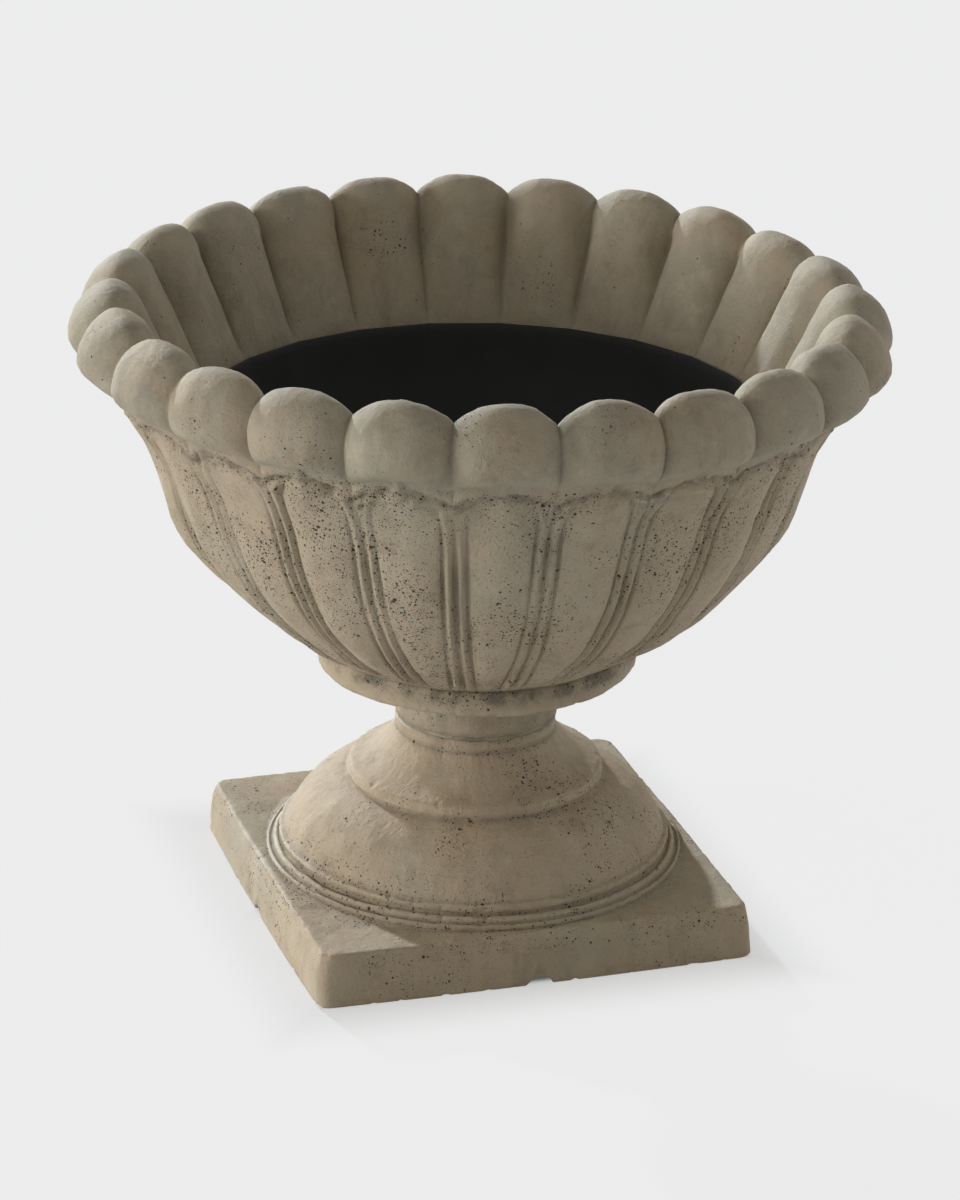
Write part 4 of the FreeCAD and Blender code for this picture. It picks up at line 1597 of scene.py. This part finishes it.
@dataclass
class DrainPlug:
    """The rubber plug: ribbed stem, domed head and a pull tab."""

    seat: float = 0.2367
    stem: float = 0.0117
    stem_depth: float = 0.0086
    head: float = 0.018
    head_height: float = 0.004
    tab_width: float = 0.014
    tab_height: float = 0.013
    tab_thickness: float = 0.004
    tab_easing: float = 0.0009
    pole: float = 0.0005
    columns: int = 96

    def build(self, finishes: Finishes) -> bpy.types.Object:
        """Make the plug.

        Args:
            finishes: The object's materials.

        Returns:
            The piece.
        """
        low, seat, top = self.seat - self.stem_depth, self.seat, self.seat + self.head_height
        runs = [
            Run(self.stem - 0.0012, low, 5),
            Run(self.stem - 0.0004, low + 0.0012, 3),
            Run(self.stem - 0.0006, low + 0.0028, 2),
            Run(self.stem, low + 0.0036, 2),
            Run(self.stem - 0.0004, low + 0.0046, 2),
            Run(self.stem, low + 0.0054, 2),
            Run(self.stem, seat, 3),
            Run(self.head - 0.0005, seat, 3),
            Run(self.head, seat + 0.0006, 2),
            Run(self.head, top - 0.0014, 2),
            Run(self.head - 0.0014, top, 3, 0.0003),
            Run(self.pole, top, 6),
        ]
        outline = np.vstack([[[self.pole, low]], trace((self.pole, low), runs)])
        mesh = grid_mesh("plug", turned(outline, full_turn(self.columns)), False, True)
        self._close_and_tab(mesh)
        piece = present("plug", mesh, finishes.by_slot[Slot.PLUG], 45.0)
        return dress(piece, "drain_plug", Body.PLUG)

    def _close_and_tab(self, mesh: bpy.types.Mesh) -> None:
        """Close the two ends and add the tab with its rounded top.

        Args:
            mesh: The plug's turned body.
        """
        shape = bmesh.new()
        shape.from_mesh(mesh)
        bmesh.ops.holes_fill(shape, edges=[edge for edge in shape.edges if edge.is_boundary], sides=0)
        foot = self.seat + self.head_height / 2
        rise = self.seat + self.head_height + self.tab_height - self.tab_width / 2
        half, thick = self.tab_width / 2, self.tab_thickness / 2
        turns = np.linspace(0.0, math.pi, 25)
        arch = [(half * math.cos(turn), rise + half * math.sin(turn)) for turn in turns]
        border = [(half, foot), *arch, (-half, foot)]
        front = [shape.verts.new((x, -thick, z)) for x, z in border]
        back = [shape.verts.new((x, thick, z)) for x, z in border]
        faces = [shape.faces.new(front), shape.faces.new(back[::-1])]
        for index in range(len(border)):
            after = (index + 1) % len(border)
            faces.append(shape.faces.new((front[after], front[index], back[index], back[after])))
        rims = [*faces[0].edges, *faces[1].edges]
        bmesh.ops.bevel(shape, geom=rims, offset=self.tab_easing, segments=3, profile=0.5, affect="EDGES")
        bmesh.ops.recalc_face_normals(shape, faces=shape.faces)
        shape.to_mesh(mesh)
        shape.free()


# ---------------------------------------------------------------- the studio


@dataclass(frozen=True)
class Lamp:
    """A distant light, with its direction as the camera sees it.

    Angles are in degrees: side goes from the camera's left towards the camera, and rise goes up.
    Size is how wide the light looks from the object.
    """

    name: str
    side: float
    rise: float
    power: float
    size: float
    colour: Colour


@dataclass
class Studio:
    """Floor, lights and camera. Directions are given as the camera sees them."""

    yaw: float = math.radians(17.44)
    tilt: float = math.radians(21.80)
    roll: float = -0.01708
    distance: float = 3.5087
    lens: float = 139.81
    aim: tuple[float, float] = (0.0019, 0.2405)
    paper: Colour = (0.80, 0.80, 0.795)
    white: Colour = (0.865, 0.865, 0.865)
    share: float = 0.94
    contact: float = 0.36
    contact_span: Point = (0.150, 0.235)
    under: float = 0.5
    under_span: Point = (0.160, 0.169)
    floor_reach: float = 25.0
    sky: float = 0.085
    lamps: tuple[Lamp, ...] = (
        Lamp("key_light", -60.0, 22.0, 2.7, 2.5, (0.92, 1.0, 1.10)),
        Lamp("low_light", 5.0, 3.0, 2.4, 30.0, (0.99, 1.0, 1.01)),
        Lamp("fill_light", 50.0, 25.0, 0.46, 60.0, (1.04, 1.0, 0.94)),
        Lamp("side_light", -172.0, 12.0, 0.70, 70.0, (1.02, 1.0, 0.98)),
    )

    def row(self, x: float, y: float, z: float) -> Vector:
        """Turn a direction as the camera sees it into the frame's own axes."""
        return Matrix.Rotation(-self.yaw, 3, "Z") @ Vector((x, y, z))

    def build(self) -> None:
        """Make the floor, the lights and the camera."""
        self._camera()
        self._floor()
        for lamp in self.lamps:
            self._hang(lamp)
        self._world()
        bpy.context.scene.view_settings.view_transform = "Standard"

    def _camera(self) -> None:
        """Stand the camera where the photograph was taken from."""
        ahead = self.row(0.0, math.cos(self.tilt), -math.sin(self.tilt))
        up = self.row(0.0, math.sin(self.tilt), math.cos(self.tilt))
        right = self.row(1.0, 0.0, 0.0)
        place = self.row(self.aim[0], 0.0, self.aim[1]) - ahead * self.distance
        cos, sin = math.cos(self.roll), math.sin(self.roll)
        across, upward = right * cos - up * sin, right * sin + up * cos
        matrix = Matrix((across, upward, -ahead)).transposed().to_4x4()
        matrix.translation = place
        data = bpy.data.cameras.new("camera")
        data.sensor_fit = "VERTICAL"
        data.sensor_height = 36.0
        data.lens = self.lens
        camera = bpy.data.objects.new("camera", data)
        camera.matrix_world = matrix
        bpy.context.scene.collection.objects.link(camera)
        bpy.context.scene.camera = camera

    def _hang(self, lamp: Lamp) -> None:
        """Add a distant light."""
        side, rise = math.radians(lamp.side), math.radians(lamp.rise)
        towards = self.row(-math.cos(side) * math.cos(rise), -math.sin(side) * math.cos(rise), math.sin(rise))
        data = bpy.data.lights.new(lamp.name, "SUN")
        data.energy = lamp.power
        data.angle = math.radians(lamp.size)
        data.color = lamp.colour
        light = bpy.data.objects.new(lamp.name, data)
        light.rotation_euler = towards.to_track_quat("Z", "Y").to_euler()
        bpy.context.scene.collection.objects.link(light)

    def _floor(self) -> None:
        """Lay the pale floor, which keeps a faint shadow, stronger close to the plinth."""
        size = self.floor_reach
        mesh = bpy.data.meshes.new("floor")
        corners = [(-size, -size, 0.0), (size, -size, 0.0), (size, size, 0.0), (-size, size, 0.0)]
        mesh.from_pydata(corners, [], [(0, 1, 2, 3)])
        floor = drop_in("floor", mesh)
        graph = Graph(bpy.data.materials.new("pale_floor"))
        matt = {"Base Color": (*self.paper, 1.0), "Roughness": 0.9, "Specular IOR Level": 0.1}
        graph.feed(graph.shader, matt)
        apart = graph.add("ShaderNodeSeparateXYZ", {}, {0: graph.place})
        away = abs(Value(graph, apart.outputs[0])).most(abs(Value(graph, apart.outputs[1])))
        near = (1.0 - away.step(*self.contact_span)) * self.contact
        under = (1.0 - away.step(*self.under_span)) * self.under
        graph.backdrop("ShaderNodeEmission", self.white, graph.seen() * (self.share - near - under))
        mesh.materials.append(graph.owner)

    def _world(self) -> None:
        """Light the object from all round, and show the backdrop's colour behind it."""
        bpy.context.scene.world = bpy.data.worlds.new("studio")
        graph = Graph(bpy.context.scene.world)
        graph.feed(graph.shader, {"Color": (1.0, 1.0, 1.0, 1.0), "Strength": self.sky})
        graph.backdrop("ShaderNodeBackground", self.white, graph.seen())


def main() -> None:
    """Build every piece in order, then the studio."""
    finishes = Finishes()
    for maker in (Pedestal(), NeckMortar(), FlutedBowl(), DrainSleeve(), PlantingLiner(), DrainPlug()):
        piece = maker.build(finishes)
        LOG.info("built %s", piece.name)
    Studio().build()


if __name__ == "__main__":
    main()
